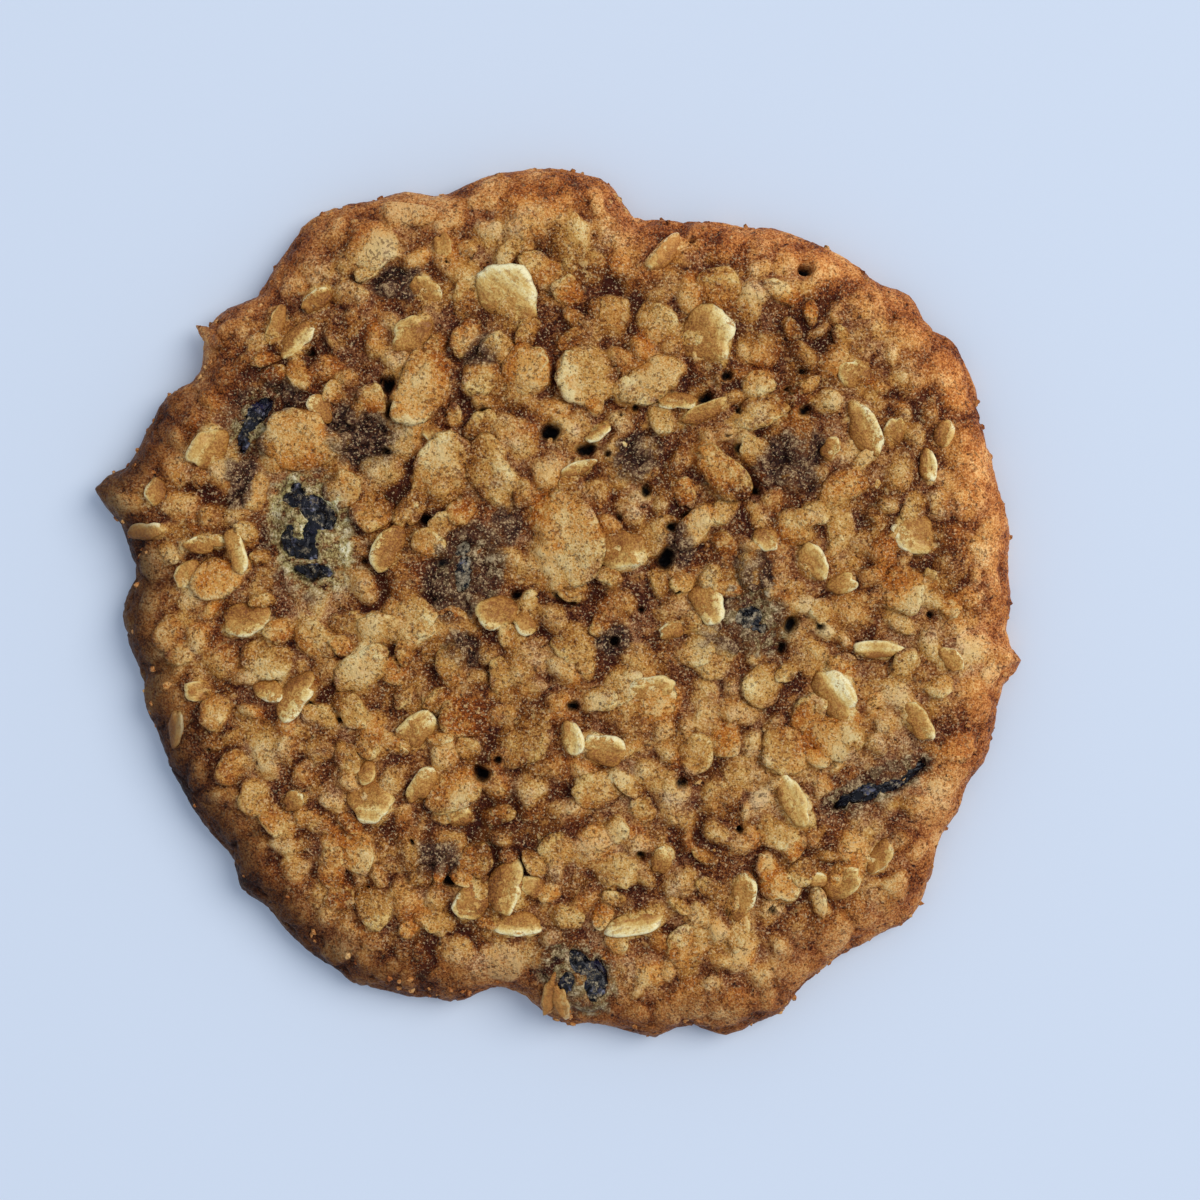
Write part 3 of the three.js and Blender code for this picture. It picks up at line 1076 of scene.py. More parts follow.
    def _finish_height(self) -> None:
        """Adds the low waves and the fine crumb, marks what stands up and what lies low, and paints light on
        the rim's lit side and shade on its far side.
        """
        low_waves = 0.6 * self.noise.layers(self.x, self.y, 21, 2)
        fine = 0.16 * self.noise.layers(self.x + 9, self.y + 4, 1.6, 3, 0.8)
        crumb = fine * (1 - 0.85 * self.covered)
        creases = np.abs(self.noise.layers(self.x - 20, self.y + 30, 6.5, 3, 0.6))
        cracks = -0.35 * smooth_step(0.09, 0.0, creases) * (1 - self.masks["gold"])
        self.height = low_waves + self.lumps + crumb + cracks - 0.24 * self.crevice
        self.smooth = self._blur(low_waves + self.lumps, 0.45)
        near = self.height - self._blur(self.height, 1.3)
        wide = self.height - self._blur(self.height, 3.6)
        groups = self.noise.layers(self.x + 60, self.y - 60, 11, 2)
        # Painted shade: lift falls in hollows and crevices, so the materials colour them darker; tones and
        # groups vary it at random.
        lift = 0.5 + 0.12 * near + 0.34 * wide - 0.13 * self.crevice + 0.13 * self.tones + 0.26 * groups
        self.masks["lift"] = np.clip(lift, 0, 1)
        # Painted light and shade on the rim: lighter on the side towards the light, darker on the far side,
        # as colour.
        edge = self.inward + 1.3 * self.noise.layers(self.x, self.y, 7, 3)
        lit = smooth_step(0.1, 1.0, self._towards(self.lit_from))
        shaded = smooth_step(0.45, 0.9, self._towards(self.shaded_from))
        shaded += 0.4 * smooth_step(0.75, 1.0, self._towards(self.less_shaded_from))
        self.masks["baked"] = shaded * smooth_step(7.5, 2.0, edge) - 0.52 * lit * smooth_step(10, 2, edge)
        # The rim mask also takes in that painted shade, so the far side is coloured red-brown.
        self.masks["rim"] = np.maximum(smooth_step(8.5, 1.0, edge), np.clip(self.masks["baked"], 0, 1))

    def _stain(self) -> None:
        """Darkens the crust around raisins."""
        for bed in BEDS:
            low, high = (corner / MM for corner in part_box(bed.node))
            middle = (low + high) / 2
            spread = Oval(middle.x, middle.y, bed.length + 3.5, bed.width + 3.5, bed.turn)
            self._add_stain(spread, bed.film)
        for stain in STAINS:
            self._add_stain(stain, 1.0)

    def _add_stain(self, oval: Oval, strength: float) -> None:
        """Darkens one place.

        Args:
            oval: Where.
            strength: 0 to 1.
        """
        at = self._window(oval, 3.0)
        q, _, _ = self._inside(oval, at, 1.2)
        mottle = self.noise.layers(self.x[at] + 40, self.y[at] - 40, 2.4, 3, 0.7)
        hollow = 1.9 - self.masks["lift"][at] + 0.9 * mottle
        spread = strength * smooth_step(1.25, 0.4, q) * hollow * (1 - 0.45 * self.masks["gold"][at])
        self.masks["stain"][at] = np.maximum(self.masks["stain"][at], np.clip(spread, 0, 1))

    def _dig_pits(self) -> None:
        """Sinks the holes that steam left, and marks them for the painted shade that colours them near black.
        """
        pits = list(PITS)
        for _ in range(self.small_pits):
            out = self.pits_to * math.sqrt(self.random.random())
            angle = self.random.uniform(0, 2 * math.pi)
            size = self.random.uniform(0.4, 0.8)
            pits.append(Oval(out * math.cos(angle), out * math.sin(angle), size * 1.2, size))
        for pit in pits:
            at = self._window(pit, 1.2)
            q, _, _ = self._inside(pit, at, 0.55)
            hole = smooth_step(1.25, 0.65, q)
            depth = min(2.4, 1.1 + 0.8 * pit.width)
            self.height[at] = self.height[at] - depth * hole
            self.masks["pit"][at] = np.maximum(self.masks["pit"][at], smooth_step(1.1, 0.7, q))

    def at(self, sheet: Array, x: Array, y: Array) -> Array:
        """Reads a sheet at places on it.

        Args:
            sheet: Heights or a mask.
            x: Places along X.
            y: Places along Y.

        Returns:
            The values there.
        """
        column = np.clip((x + self.reach) / self.step, 0, sheet.shape[1] - 2)
        row = np.clip((y + self.reach) / self.step, 0, sheet.shape[0] - 2)
        left, below = np.floor(column).astype(int), np.floor(row).astype(int)
        right_share, upper_share = column - left, row - below
        low = sheet[below, left] * (1 - right_share) + sheet[below, left + 1] * right_share
        high = sheet[below + 1, left] * (1 - right_share) + sheet[below + 1, left + 1] * right_share
        return low * (1 - upper_share) + high * upper_share


# The thin golden dough over an oat, from its dark hollows to its light tops; the darkness in the hollows is
# painted shade.
COAT_COLOURS = (
    tint(100, 50, 12), tint(152, 94, 36), tint(185, 128, 57), tint(207, 157, 82), tint(222, 188, 124)
)


@dataclass(frozen=True)
class DoughFinish:
    """Baked oat dough: golden on its lumps, red-brown at the rim; its hollows, crevices and pits carry
    painted shade, its rim painted light and shade, its crust painted glints.
    """

    crust: tuple[Colour, ...] = (
        tint(58, 17, 3), tint(116, 60, 22), tint(158, 102, 51), tint(190, 138, 78), tint(222, 180, 118)
    )
    mauve: tuple[Colour, ...] = (
        tint(58, 18, 7), tint(112, 62, 36), tint(151, 101, 65), tint(186, 138, 95), tint(226, 188, 142)
    )
    orange: tuple[Colour, ...] = (
        tint(84, 34, 8), tint(138, 66, 18), tint(176, 97, 30), tint(202, 127, 48), tint(220, 160, 80)
    )
    bare: tuple[Colour, ...] = (
        tint(134, 88, 38), tint(178, 128, 60), tint(204, 158, 84), tint(220, 184, 114), tint(234, 210, 150)
    )
    red: tuple[Colour, ...] = (
        tint(70, 26, 9), tint(130, 66, 27), tint(170, 98, 46), tint(199, 130, 70), tint(222, 167, 106)
    )
    juice: tuple[Colour, ...] = (
        tint(22, 8, 6), tint(50, 27, 20), tint(84, 54, 38), tint(124, 91, 62), tint(176, 144, 102)
    )
    film: tuple[Colour, ...] = (
        tint(78, 64, 38), tint(132, 114, 68), tint(174, 158, 100), tint(206, 192, 138), tint(238, 228, 190)
    )

    def make(self) -> bpy.types.Material:
        """Mixes the material.

        Returns:
            The material.
        """
        recipe = Recipe("baked_dough")
        lift, gold, toast = recipe.mark("lift"), recipe.mark("gold"), recipe.mark("toast")
        cream, stain, rim, pit = (recipe.mark(name) for name in ("cream", "stain", "rim", "pit"))
        film, baked = recipe.mark("film"), recipe.mark("baked")
        grain = recipe.reach(recipe.grain(0.9, 2, 0.7), 0.36, 0.64)
        fine = recipe.reach(recipe.grain(0.24, 1, 0.8), 0.34, 0.66)
        mottle = recipe.reach(recipe.grain(1.5, 4, 0.68), 0.36, 0.64)
        patches, flecks = recipe.grain(3.2, 3, 0.6), recipe.reach(recipe.grain(0.9, 3, 0.6), 0.56, 0.66)
        clumps, tones = recipe.grain(5.0, 3, 0.55), recipe.grain(16, 2, 0.5)
        # Painted shade: level, smoother and rough follow lift, so every ramp runs darker in the hollows and
        # crevices.
        level = recipe.sum(
            (lift, 1.15), (fine, 0.4), (mottle, 0.18), (clumps, 1.55), (tones, 0.8), (-1.0, 1.58)
        )
        smoother = recipe.sum(
            (lift, 1.05), (fine, 0.36), (mottle, 0.2), (clumps, 1.35), (tones, 0.8), (-1.0, 1.43)
        )
        bubbles = recipe.sum((recipe.grain(0.42, 1.5, 0.6), 1.0), (patches, 0.35), (-1.0, 0.17))
        pores = recipe.reach(bubbles, 0.43, 0.35)
        sparks = recipe.reach(recipe.grain(0.3, 1, 0.6), 0.58, 0.68)
        golden = recipe.reach(recipe.sum((gold, 1.0), (patches, 1.7), (-1.0, 0.85)), 0.1, 0.8)
        warmth = recipe.grain(7.5, 3, 0.6)
        orange = recipe.reach(recipe.sum((toast, 0.9), (warmth, 2.6), (-1.0, 1.25)), 0.1, 1.0)
        pale = recipe.reach(recipe.sum((cream, 1.0), (mottle, 0.7), (-1.0, 0.35)), 0.2, 0.75)
        veiled = recipe.reach(recipe.sum((film, 1.0), (mottle, 0.7), (-1.0, 0.35)), 0.1, 0.6)
        rough = recipe.sum((mottle, 0.6), (grain, 0.5), (fine, 0.3), (lift, 0.6), (-1.0, 0.55))
        shifted = recipe.reach(recipe.grain(2.6, 3, 0.65), 0.42, 0.6)
        soaked = recipe.reach(recipe.sum((stain, 0.9), (mottle, 0.45), (grain, 0.2), (-1.0, 0.32)), 0.0, 0.85)
        soaked = recipe.times(soaked, recipe.reach(stain, 0.0, 0.5))
        colour = recipe.even(level, self.crust)
        colour = recipe.mix(recipe.times(shifted, 0.8), colour, recipe.even(level, self.mauve))
        colour = recipe.mix(recipe.times(golden, 0.9), colour, recipe.even(smoother, COAT_COLOURS))
        colour = recipe.mix(recipe.times(orange, 0.92), colour, recipe.even(smoother, self.orange))
        colour = recipe.mix(recipe.times(pale, 0.9), colour, recipe.even(smoother, self.bare))
        colour = recipe.mix(recipe.times(flecks, recipe.times(golden, 0.5)), colour, tint(224, 186, 118))
        colour = recipe.mix(recipe.times(rim, 0.85), colour, recipe.even(level, self.red))
        colour = recipe.mix(soaked, colour, recipe.even(rough, self.juice))
        colour = recipe.mix(recipe.times(film, veiled), colour, recipe.even(rough, self.film))
        colour = recipe.mix(recipe.times(pores, 0.58), colour, tint(86, 38, 12))
        # Painted highlight: pale glints scattered over the crust, fewer on the rim.
        glints = recipe.times(sparks, recipe.sum((rim, -0.3), (1.0, 0.44)))
        colour = recipe.mix(glints, colour, tint(240, 206, 154))
        specks = recipe.reach(recipe.grain(0.75, 2, 0.6), 0.35, 0.295)
        specks = recipe.times(specks, recipe.sum((gold, -0.55), (1.0, 0.9)))
        colour = recipe.mix(specks, colour, tint(44, 22, 16))
        # Painted shade on the rim's far side and painted light on its lit side.
        colour = recipe.shade(colour, recipe.sum((baked, -0.76), (1.0, 1.0)))
        # Painted shade: the pits are coloured near black.
        colour = recipe.mix(pit, colour, tint(12, 9, 11))
        recipe.feed(colour, "Base Color")
        recipe.feed(recipe.reach(grain, 0, 1, 0.62, 0.42), "Roughness")
        relief = recipe.sum((mottle, 0.3), (grain, 0.13), (fine, 0.06), (pores, -0.14), (specks, -0.2))
        recipe.emboss(relief, 0.42, 1.0)
        recipe.set(Specular_IOR_Level=0.1)
        return recipe.material


@dataclass
class Dough:
    """The baked dough: crust, rim, wall and underside as one closed skin."""

    section: Section
    relief: Relief
    cells: int = 300
    base_cells: int = 75
    base_inset: float = 1.0
    tear_depth: float = 0.75

    @staticmethod
    def _on_disc(places: Array) -> tuple[Array, Array]:
        """Wraps a square sheet of half width 1 onto a disc.

        Args:
            places: Points of the sheet.

        Returns:
            Share of the radius, and the angle in radians.
        """
        u, v = places[:, 0], places[:, 1]
        ring = np.maximum(np.abs(u), np.abs(v))
        safe_u, safe_v = np.where(u == 0, 1e-9, u), np.where(v == 0, 1e-9, v)
        wide = np.abs(u) >= np.abs(v)
        sideways = math.pi / 4 * v / safe_u + np.where(u < 0, math.pi, 0)
        upright = math.pi / 2 - math.pi / 4 * u / safe_v + np.where(v < 0, math.pi, 0)
        return ring, np.where(wide, sideways, upright)

    def _sheet(self, cells: int) -> tuple[Piece, Array, Array]:
        """Adds a flat square sheet.

        Args:
            cells: Cells along each side.

        Returns:
            The object, and its vertices' shares of the radius and angles.
        """
        Steps.clear_selection()
        bpy.ops.mesh.primitive_grid_add(x_subdivisions=cells, y_subdivisions=cells, size=2 * MM)
        piece = bpy.context.active_object
        share, angle = self._on_disc(Steps.places(piece))
        return piece, share, angle

    def build(self) -> Piece:
        """Shapes the crust and the underside and joins them.

        Returns:
            The finished piece.
        """
        crust, marks = self._crust()
        underside, base_marks = self._underside()
        for piece, values in ((crust, marks), (underside, base_marks)):
            for name, numbers in values.items():
                Steps.mark(piece, name, numbers)
        dough = Steps.join([crust, underside], "cookie_dough")
        bpy.ops.object.mode_set(mode="EDIT")
        bpy.ops.mesh.select_mode(type="EDGE")
        bpy.ops.mesh.select_all(action="DESELECT")
        bpy.ops.mesh.select_non_manifold()
        bpy.ops.mesh.bridge_edge_loops()
        bpy.ops.mesh.select_all(action="SELECT")
        bpy.ops.mesh.quads_convert_to_tris()
        bpy.ops.mesh.normals_make_consistent(inside=False)
        bpy.ops.object.mode_set(mode="OBJECT")
        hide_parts("cookie")
        return dough

    def _crust(self) -> tuple[Piece, dict[str, Array]]:
        """Shapes the crust, the rim and the wall.

        Returns:
            The piece and its marks.
        """
        piece, share, angle = self._sheet(self.cells)
        _, crust, bend, wall = self.section.spans(angle)
        along = share * (crust + bend + wall)
        points, ways = self.section.place(angle, along)
        flat_x, flat_y = self.section.flat(angle, along)
        height = self.relief.at(self.relief.height, flat_x, flat_y)
        marks = {name: self.relief.at(mask, flat_x, flat_y) for name, mask in self.relief.masks.items()}
        foot = smooth_step(0, 1.6, crust + bend + wall - along)
        points = points + ways * (height * foot)[:, None]
        points[:, 2] = np.maximum(points[:, 2], 0)
        self._open_over_raisins(points, marks)
        Steps.move(piece, points)
        return piece, marks

    def _open_over_raisins(self, points: Array, marks: dict[str, Array]) -> None:
        """Drapes the crust over the raisins and tears it where they show.

        Args:
            points: The crust's vertices, which are moved.
            marks: Their marks, which are changed.
        """
        noise = self.relief.noise
        for bed in BEDS:
            low, high = (np.array(corner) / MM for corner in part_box(bed.node))
            middle = (low + high) / 2
            x, y = points[:, 0] - middle[0], points[:, 1] - middle[1]
            along, across = spin(x, y, -math.radians(bed.turn))
            q = np.hypot(along / (bed.length / 2), across / (bed.width / 2))
            near = q < 1.0
            top = middle[2] + (high[2] - middle[2]) * np.sqrt(np.clip(1 - q**2, 0, 1))
            skin = 0.16 + 0.14 * noise.layers(points[:, 0] + 5, points[:, 1], 1.6, 3, 0.6)
            draped = soft_max(top + skin, points[:, 2], 0.4)
            points[:, 2] = np.where(near, draped, points[:, 2])
            torn = self._torn(bed, points)
            sunk = np.minimum(points[:, 2], top - self.tear_depth)
            points[:, 2] += (sunk - points[:, 2]) * torn * smooth_step(1.0, 0.9, q)
            lip = smooth_step(0.05, 0.5, torn) * near
            patchy = smooth_step(-0.35, 0.3, noise.layers(points[:, 0], points[:, 1] + 20, 4.0, 4, 0.7))
            film = smooth_step(1.35, 0.95, q)
            marks["film"] = np.maximum(marks["film"], bed.film * film * (1 - 0.5 * patchy))
            marks["stain"] = np.maximum(marks["stain"] * (1 - film), (1 - bed.film) * film)
            marks["stain"] = np.maximum(marks["stain"], np.maximum(lip, 0.5 * film * patchy))

    def _torn(self, bed: Bed, points: Array) -> Array:
        """Where the crust over a raisin is torn open.

        Args:
            bed: The raisin's bed.
            points: The crust's vertices.

        Returns:
            1 in a tear, 0 outside it.
        """
        noise = self.relief.noise
        x = points[:, 0] + 0.45 * noise.layers(points[:, 0], points[:, 1] + 60, 2.0, 3, 0.7)
        y = points[:, 1] + 0.45 * noise.layers(points[:, 0] + 80, points[:, 1], 2.0, 3, 0.7)
        torn = np.zeros(len(points))
        for tear in bed.tears:
            along, across = spin(x - tear.x, y - tear.y, -math.radians(tear.turn))
            q = np.hypot(along / (tear.length / 2), across / (tear.width / 2))
            torn = np.maximum(torn, smooth_step(1.12, 0.88, q))
        return torn

    def _underside(self) -> tuple[Piece, dict[str, Array]]:
        """Shapes the flat underside with its shallow pores.

        Returns:
            The piece and its marks.
        """
        piece, share, angle = self._sheet(self.base_cells)
        foot = self.section.outline.radius(angle) - self.section.foot_tuck - self.base_inset
        x, y = share * foot * np.cos(angle), share * foot * np.sin(angle)
        noise = self.relief.noise
        pores = smooth_step(0.2, 0.7, noise.layers(x, y, 7, 3, 0.6)) * smooth_step(1, 0.9, share)
        points = np.stack([x, y, 0.35 * pores], -1)
        Steps.hold(piece)
        bpy.ops.object.mode_set(mode="EDIT")
        bpy.ops.mesh.select_all(action="SELECT")
        bpy.ops.mesh.flip_normals()
        bpy.ops.object.mode_set(mode="OBJECT")
        Steps.move(piece, points)
        blank = np.zeros(len(points))
        marks = {name: blank for name in self.relief.masks}
        # Painted shade: the shallow pores are coloured darker.
        marks["lift"] = 0.42 - 0.2 * pores + 0.12 * noise.layers(x + 13, y, 11, 3)
        marks["rim"] = 0.5 + 0.4 * smooth_step(0.6, 1, share)
        return piece, marks


# ---------------------------------------------------------------------------------------------
# Rolled oats that stand out of the crust
# ---------------------------------------------------------------------------------------------


@dataclass(frozen=True)
class OatFinish:
    """Rolled oat: cream to toasted gold, streaked along its length, partly under dough."""

    bare: tuple[Colour, ...] = (
        tint(150, 92, 36), tint(192, 138, 66), tint(218, 176, 98), tint(236, 208, 138), tint(250, 236, 184)
    )

    def make(self) -> bpy.types.Material:
        """Mixes the material.

        Returns:
            The material.
        """
        recipe = Recipe("oat_flake")
        tone, edge, sunk = recipe.mark("tone"), recipe.mark("edge"), recipe.mark("sunk")
        uv = recipe.tree.nodes.new("ShaderNodeUVMap")
        uv.uv_map = "FlakeMap"
        streaks = recipe.grain(1000 / 9, 3, 0.6, uv.outputs["UV"])
        grain = recipe.reach(recipe.grain(0.9, 2, 0.7), 0.36, 0.64)
        fine = recipe.reach(recipe.grain(0.24, 1, 0.8), 0.34, 0.66)
        clumps, tones = recipe.grain(2.6, 4, 0.65), recipe.grain(16, 2, 0.5)
        stripes = recipe.reach(streaks, 0.36, 0.66)
        coat_level = recipe.sum(
            (fine, 0.3), (clumps, 1.0), (tones, 0.5), (edge, 0.2), (sunk, -0.2), (tone, 0.3), (-1.0, 0.6)
        )
        bare_level = recipe.sum(
            (stripes, 0.42), (fine, 0.18), (clumps, 0.95), (tone, 0.45),
            (edge, 0.5), (sunk, -0.45), (-1.0, 0.55),
        )
        bare = recipe.even(bare_level, self.bare)
        coated = recipe.even(coat_level, COAT_COLOURS)
        freckles = recipe.reach(recipe.grain(0.8, 4, 0.75), 0.4, 0.6)
        cover = recipe.sum(
            (clumps, 1.3), (freckles, 0.3), (sunk, 0.3), (tone, -0.6), (edge, -0.3), (1.0, 0.05)
        )
        share = recipe.reach(cover, 0.46, 0.64)
        colour = recipe.mix(share, bare, coated)
        toasted = recipe.reach(recipe.grain(0.55, 2, 0.6), 0.56, 0.66)
        colour = recipe.mix(recipe.times(toasted, 0.45), colour, tint(146, 82, 30))
        colour = recipe.mix(recipe.times(recipe.mark("rim"), 0.6), colour, tint(188, 122, 60))
        # Painted shade on the rim's far side and painted light on its lit side.
        colour = recipe.shade(colour, recipe.sum((recipe.mark("baked"), -0.6), (1.0, 1.0)))
        recipe.feed(colour, "Base Color")
        recipe.feed(recipe.reach(share, 0, 1, 0.36, 0.6), "Roughness")
        relief = recipe.sum((stripes, 0.1), (clumps, 0.4), (recipe.times(share, grain), 0.14), (fine, 0.04))
        recipe.emboss(relief, 0.5, 1.0)
        recipe.set(Specular_IOR_Level=0.25)
        return recipe.material


@dataclass
class Flakes:
    """Rolled oats whose faces and edges stand out of the crust, as one piece."""

    section: Section
    relief: Relief
    name: str
    bare: bool
    thickness: float = 0.55
    sides: int = 36
    rings: int = 8

    def _pattern(self) -> tuple[Piece, Array]:
        """Models one round flake of radius 1, which every flake is a copy of.

        Returns:
            The object, and its vertices on the unit ball.
        """
        Steps.clear_selection()
        bpy.ops.mesh.primitive_uv_sphere_add(segments=self.sides, ring_count=self.rings, radius=MM)
        piece = bpy.context.active_object
        return piece, Steps.places(piece)

    def build(self) -> Piece:
        """Copies, shapes and seats each flake, and joins them.

        Returns:
            The finished piece.
        """
        pattern, ball = self._pattern()
        shown = [
            oat for oat in self.relief.oats if COATS[oat.look].flake and COATS[oat.look].bare == self.bare
        ]
        flakes = []
        for number, oat in enumerate(shown):
            flake = pattern.copy()
            flake.data = pattern.data.copy()
            bpy.context.collection.objects.link(flake)
            self._shape(flake, ball, oat, random.Random(500 + number))
            flakes.append(flake)
        bpy.data.objects.remove(pattern)
        return Steps.join(flakes, self.name)

    def _shape(self, flake: Piece, ball: Array, oat: Oat, draw: random.Random) -> None:
        """Flattens one copy into a flake and seats it on its lump.

        Args:
            flake: The copy.
            ball: The pattern's vertices.
            oat: The oat.
            draw: The flake's own random numbers.
        """
        coat = COATS[oat.look]
        around = np.arctan2(ball[:, 1], ball[:, 0])
        out = np.hypot(ball[:, 0], ball[:, 1])
        uneven = 1 + sum(
            draw.uniform(0.04, 0.22) / k * np.sin(k * around + draw.uniform(0, 6.3)) for k in range(1, 9)
        )
        uneven = uneven - draw.uniform(0.1, 0.3) * np.exp(-(((around - draw.uniform(-3, 3)) / 0.3) ** 2))
        ring_x, ring_y = np.cos(around) * 3 + oat.x * 3, np.sin(around) * 3 + oat.y * 3
        jagged = self.relief.noise.layers(ring_x, ring_y, 1.1, 2, 0.8)
        uneven = uneven + 0.07 * jagged
        along = out * uneven * np.cos(around) * oat.length / 2
        across = out * uneven * np.sin(around) * oat.width / 2
        profile = np.sqrt(np.clip(1 - out**6, 0, 1))
        rise = np.sign(ball[:, 2]) * profile * self.thickness / 2
        top = ball[:, 2] > 0
        crease = np.exp(-((across / 0.42 + 0.5 * np.sin(along)) ** 2)) * (out < 0.85)
        rise = rise - 0.08 * crease * top
        wave = draw.uniform(0.03, 0.09) * np.sin(along * draw.uniform(1.2, 2.0) + draw.uniform(0, 6.3))
        dome = 0.2 * min(1.0, oat.width / 5)
        rise = rise + wave - dome * out**2 + 0.06 * np.sin(3 * around + draw.uniform(0, 6)) * out
        tilt = math.radians(draw.uniform(9, 15))
        facing = math.radians(oat.open_to - oat.turn)
        uphill = along * math.cos(facing) + across * math.sin(facing)
        reach = (abs(math.cos(facing)) * oat.length + abs(math.sin(facing)) * oat.width) / 2
        ridges = self.relief.noise.layers(along + oat.x * 5, across + oat.y * 5, 1.9, 2, 0.7)
        rise = rise + (0.2 * ridges + 0.1) * top + math.tan(tilt) * (uphill - coat.sunk * reach)
        places, x, y = self._seat(oat, along, across, rise)
        Steps.move(flake, places)
        marks = {name: self.relief.at(mask, x, y) for name, mask in self.relief.masks.items()}
        if self.bare:
            tone = np.clip(coat.tone + draw.uniform(-0.15, 0.12), 0, 1)
            marks["tone"] = np.full(len(ball), tone)
            marks["edge"] = out**5 * smooth_step(-0.3, 0.6, uphill / reach)
            marks["sunk"] = smooth_step(0.35, -0.75, uphill / reach)
            self._map(flake, along, across, draw)
        else:
            face = 0.5 + 0.1 * uphill / reach + 0.12 * ridges + draw.uniform(-0.06, 0.1)
            face = face + 0.11 * oat.tone
            # Painted shade: the flake's underside and lower edge get a low lift, so they are coloured darker.
            marks["lift"] = np.where(ball[:, 2] > -0.05, np.maximum(marks["lift"], face), 0.2)
            edge = out**5 * smooth_step(-0.1, 0.6, uphill / reach)
            marks["cream"] = np.clip(marks["cream"] + draw.uniform(0.2, 0.9) * edge, 0, 1)
            marks["pit"] = 0 * out
        for name, values in marks.items():
            Steps.mark(flake, name, values)

    def _seat(self, oat: Oat, along: Array, across: Array, rise: Array) -> tuple[Array, Array, Array]:
        """Puts a flake's points on the crust.

        Args:
            oat: The oat.
            along: Places along the flake.
            across: Places across it.
            rise: Heights above its lump.

        Returns:
            The points in the cookie's frame, and their places on the flat sheet.
        """
        turn = math.radians(oat.turn)
        x = oat.x + along * math.cos(turn) - across * math.sin(turn)
        y = oat.y + along * math.sin(turn) + across * math.cos(turn)
        angle, length = self.section.along(np.array([oat.x]), np.array([oat.y]))
        points, ways = self.section.place(angle, length)
        crust = self.relief.at(self.relief.smooth, *self.section.flat(angle, length))
        point, way = points[0] + ways[0] * crust[0], ways[0]
        offset_x, offset_y = x - oat.x, y - oat.y
        slope = -(offset_x * way[0] + offset_y * way[1]) / max(way[2], 0.45)
        flat = np.stack([offset_x, offset_y, slope], -1)
        places = point + flat + way * rise[:, None]
        return places, *self.section.flat(*self.section.along(x, y))

    @staticmethod
    def _map(flake: Piece, along: Array, across: Array, draw: random.Random) -> None:
        """Stores each corner's place on the flake, long side stretched, for the streaks.

        Args:
            flake: The flake.
            along: Places along the flake in millimetres.
            across: Places across it.
            draw: The flake's own random numbers.
        """
        chart = flake.data.uv_layers.get("UVMap") or flake.data.uv_layers.new(name="UVMap")
        chart.name = "FlakeMap"
        corners = np.zeros(len(flake.data.loops), int)
        flake.data.loops.foreach_get("vertex_index", corners)
        shift = draw.uniform(0, 9)
        places = np.stack([along[corners] / 60 + shift, across[corners] / 14 + shift], -1)
        chart.data.foreach_set("uv", places.astype(np.float32).ravel())


# ---------------------------------------------------------------------------------------------
# Raisins and crumbs
# ---------------------------------------------------------------------------------------------


@dataclass(frozen=True)
class RaisinFinish:
    """Wrinkled blue-black skin with a dull bloom, painted highlights along its ridges, and specks of dough.
    """

    def make(self) -> bpy.types.Material:
        """Mixes the material.

        Returns:
            The material.
        """
        recipe = Recipe("raisin_skin")
        fold = recipe.mark("fold")
        clouds, grain = recipe.grain(2.2, 3, 0.6), recipe.grain(0.35, 3, 0.7)
        skin = recipe.ramp(clouds, [(0.3, tint(4, 4, 8)), (0.78, tint(40, 35, 76)), (0.56, tint(9, 8, 21))])
        # Pale bloom laid on the wrinkles' ridges, partly painted highlight.
        ridge_bloom_and_highlight = recipe.ramp(grain, [(0.35, tint(70, 74, 112)), (0.75, tint(190, 186, 190))])
        wrinkles = recipe.reach(recipe.grain(1.7, 2, 0.55), 0.42, 0.58)
        streaks = recipe.reach(recipe.grain(1.9, 3, 0.65), 0.55, 0.66)
        ridges = recipe.times(streaks, recipe.reach(fold, 0.2, 0.9, 0.3, 0.8))
        colour = recipe.mix(ridges, skin, ridge_bloom_and_highlight)
        crumbs = recipe.sum((recipe.grain(1.1, 4, 0.75), 1.0), (recipe.mark("dust"), 0.15))
        dusted = recipe.times(recipe.reach(crumbs, 0.58, 0.68), 0.85)
        dough = recipe.ramp(grain, [(0.35, tint(96, 76, 58)), (0.7, tint(206, 190, 154))])
        colour = recipe.mix(dusted, colour, dough)
        recipe.feed(colour, "Base Color")
        recipe.feed(recipe.reach(recipe.sum((grain, 0.5), (dusted, 0.8)), 0.15, 0.8, 0.24, 0.7), "Roughness")
        recipe.emboss(recipe.sum((wrinkles, 0.8), (grain, 0.14), (dusted, 0.35)), 0.5, 1.0)
        recipe.set(Specular_IOR_Level=0.25, Coat_Weight=0.12, Coat_Roughness=0.15)
        return recipe.material


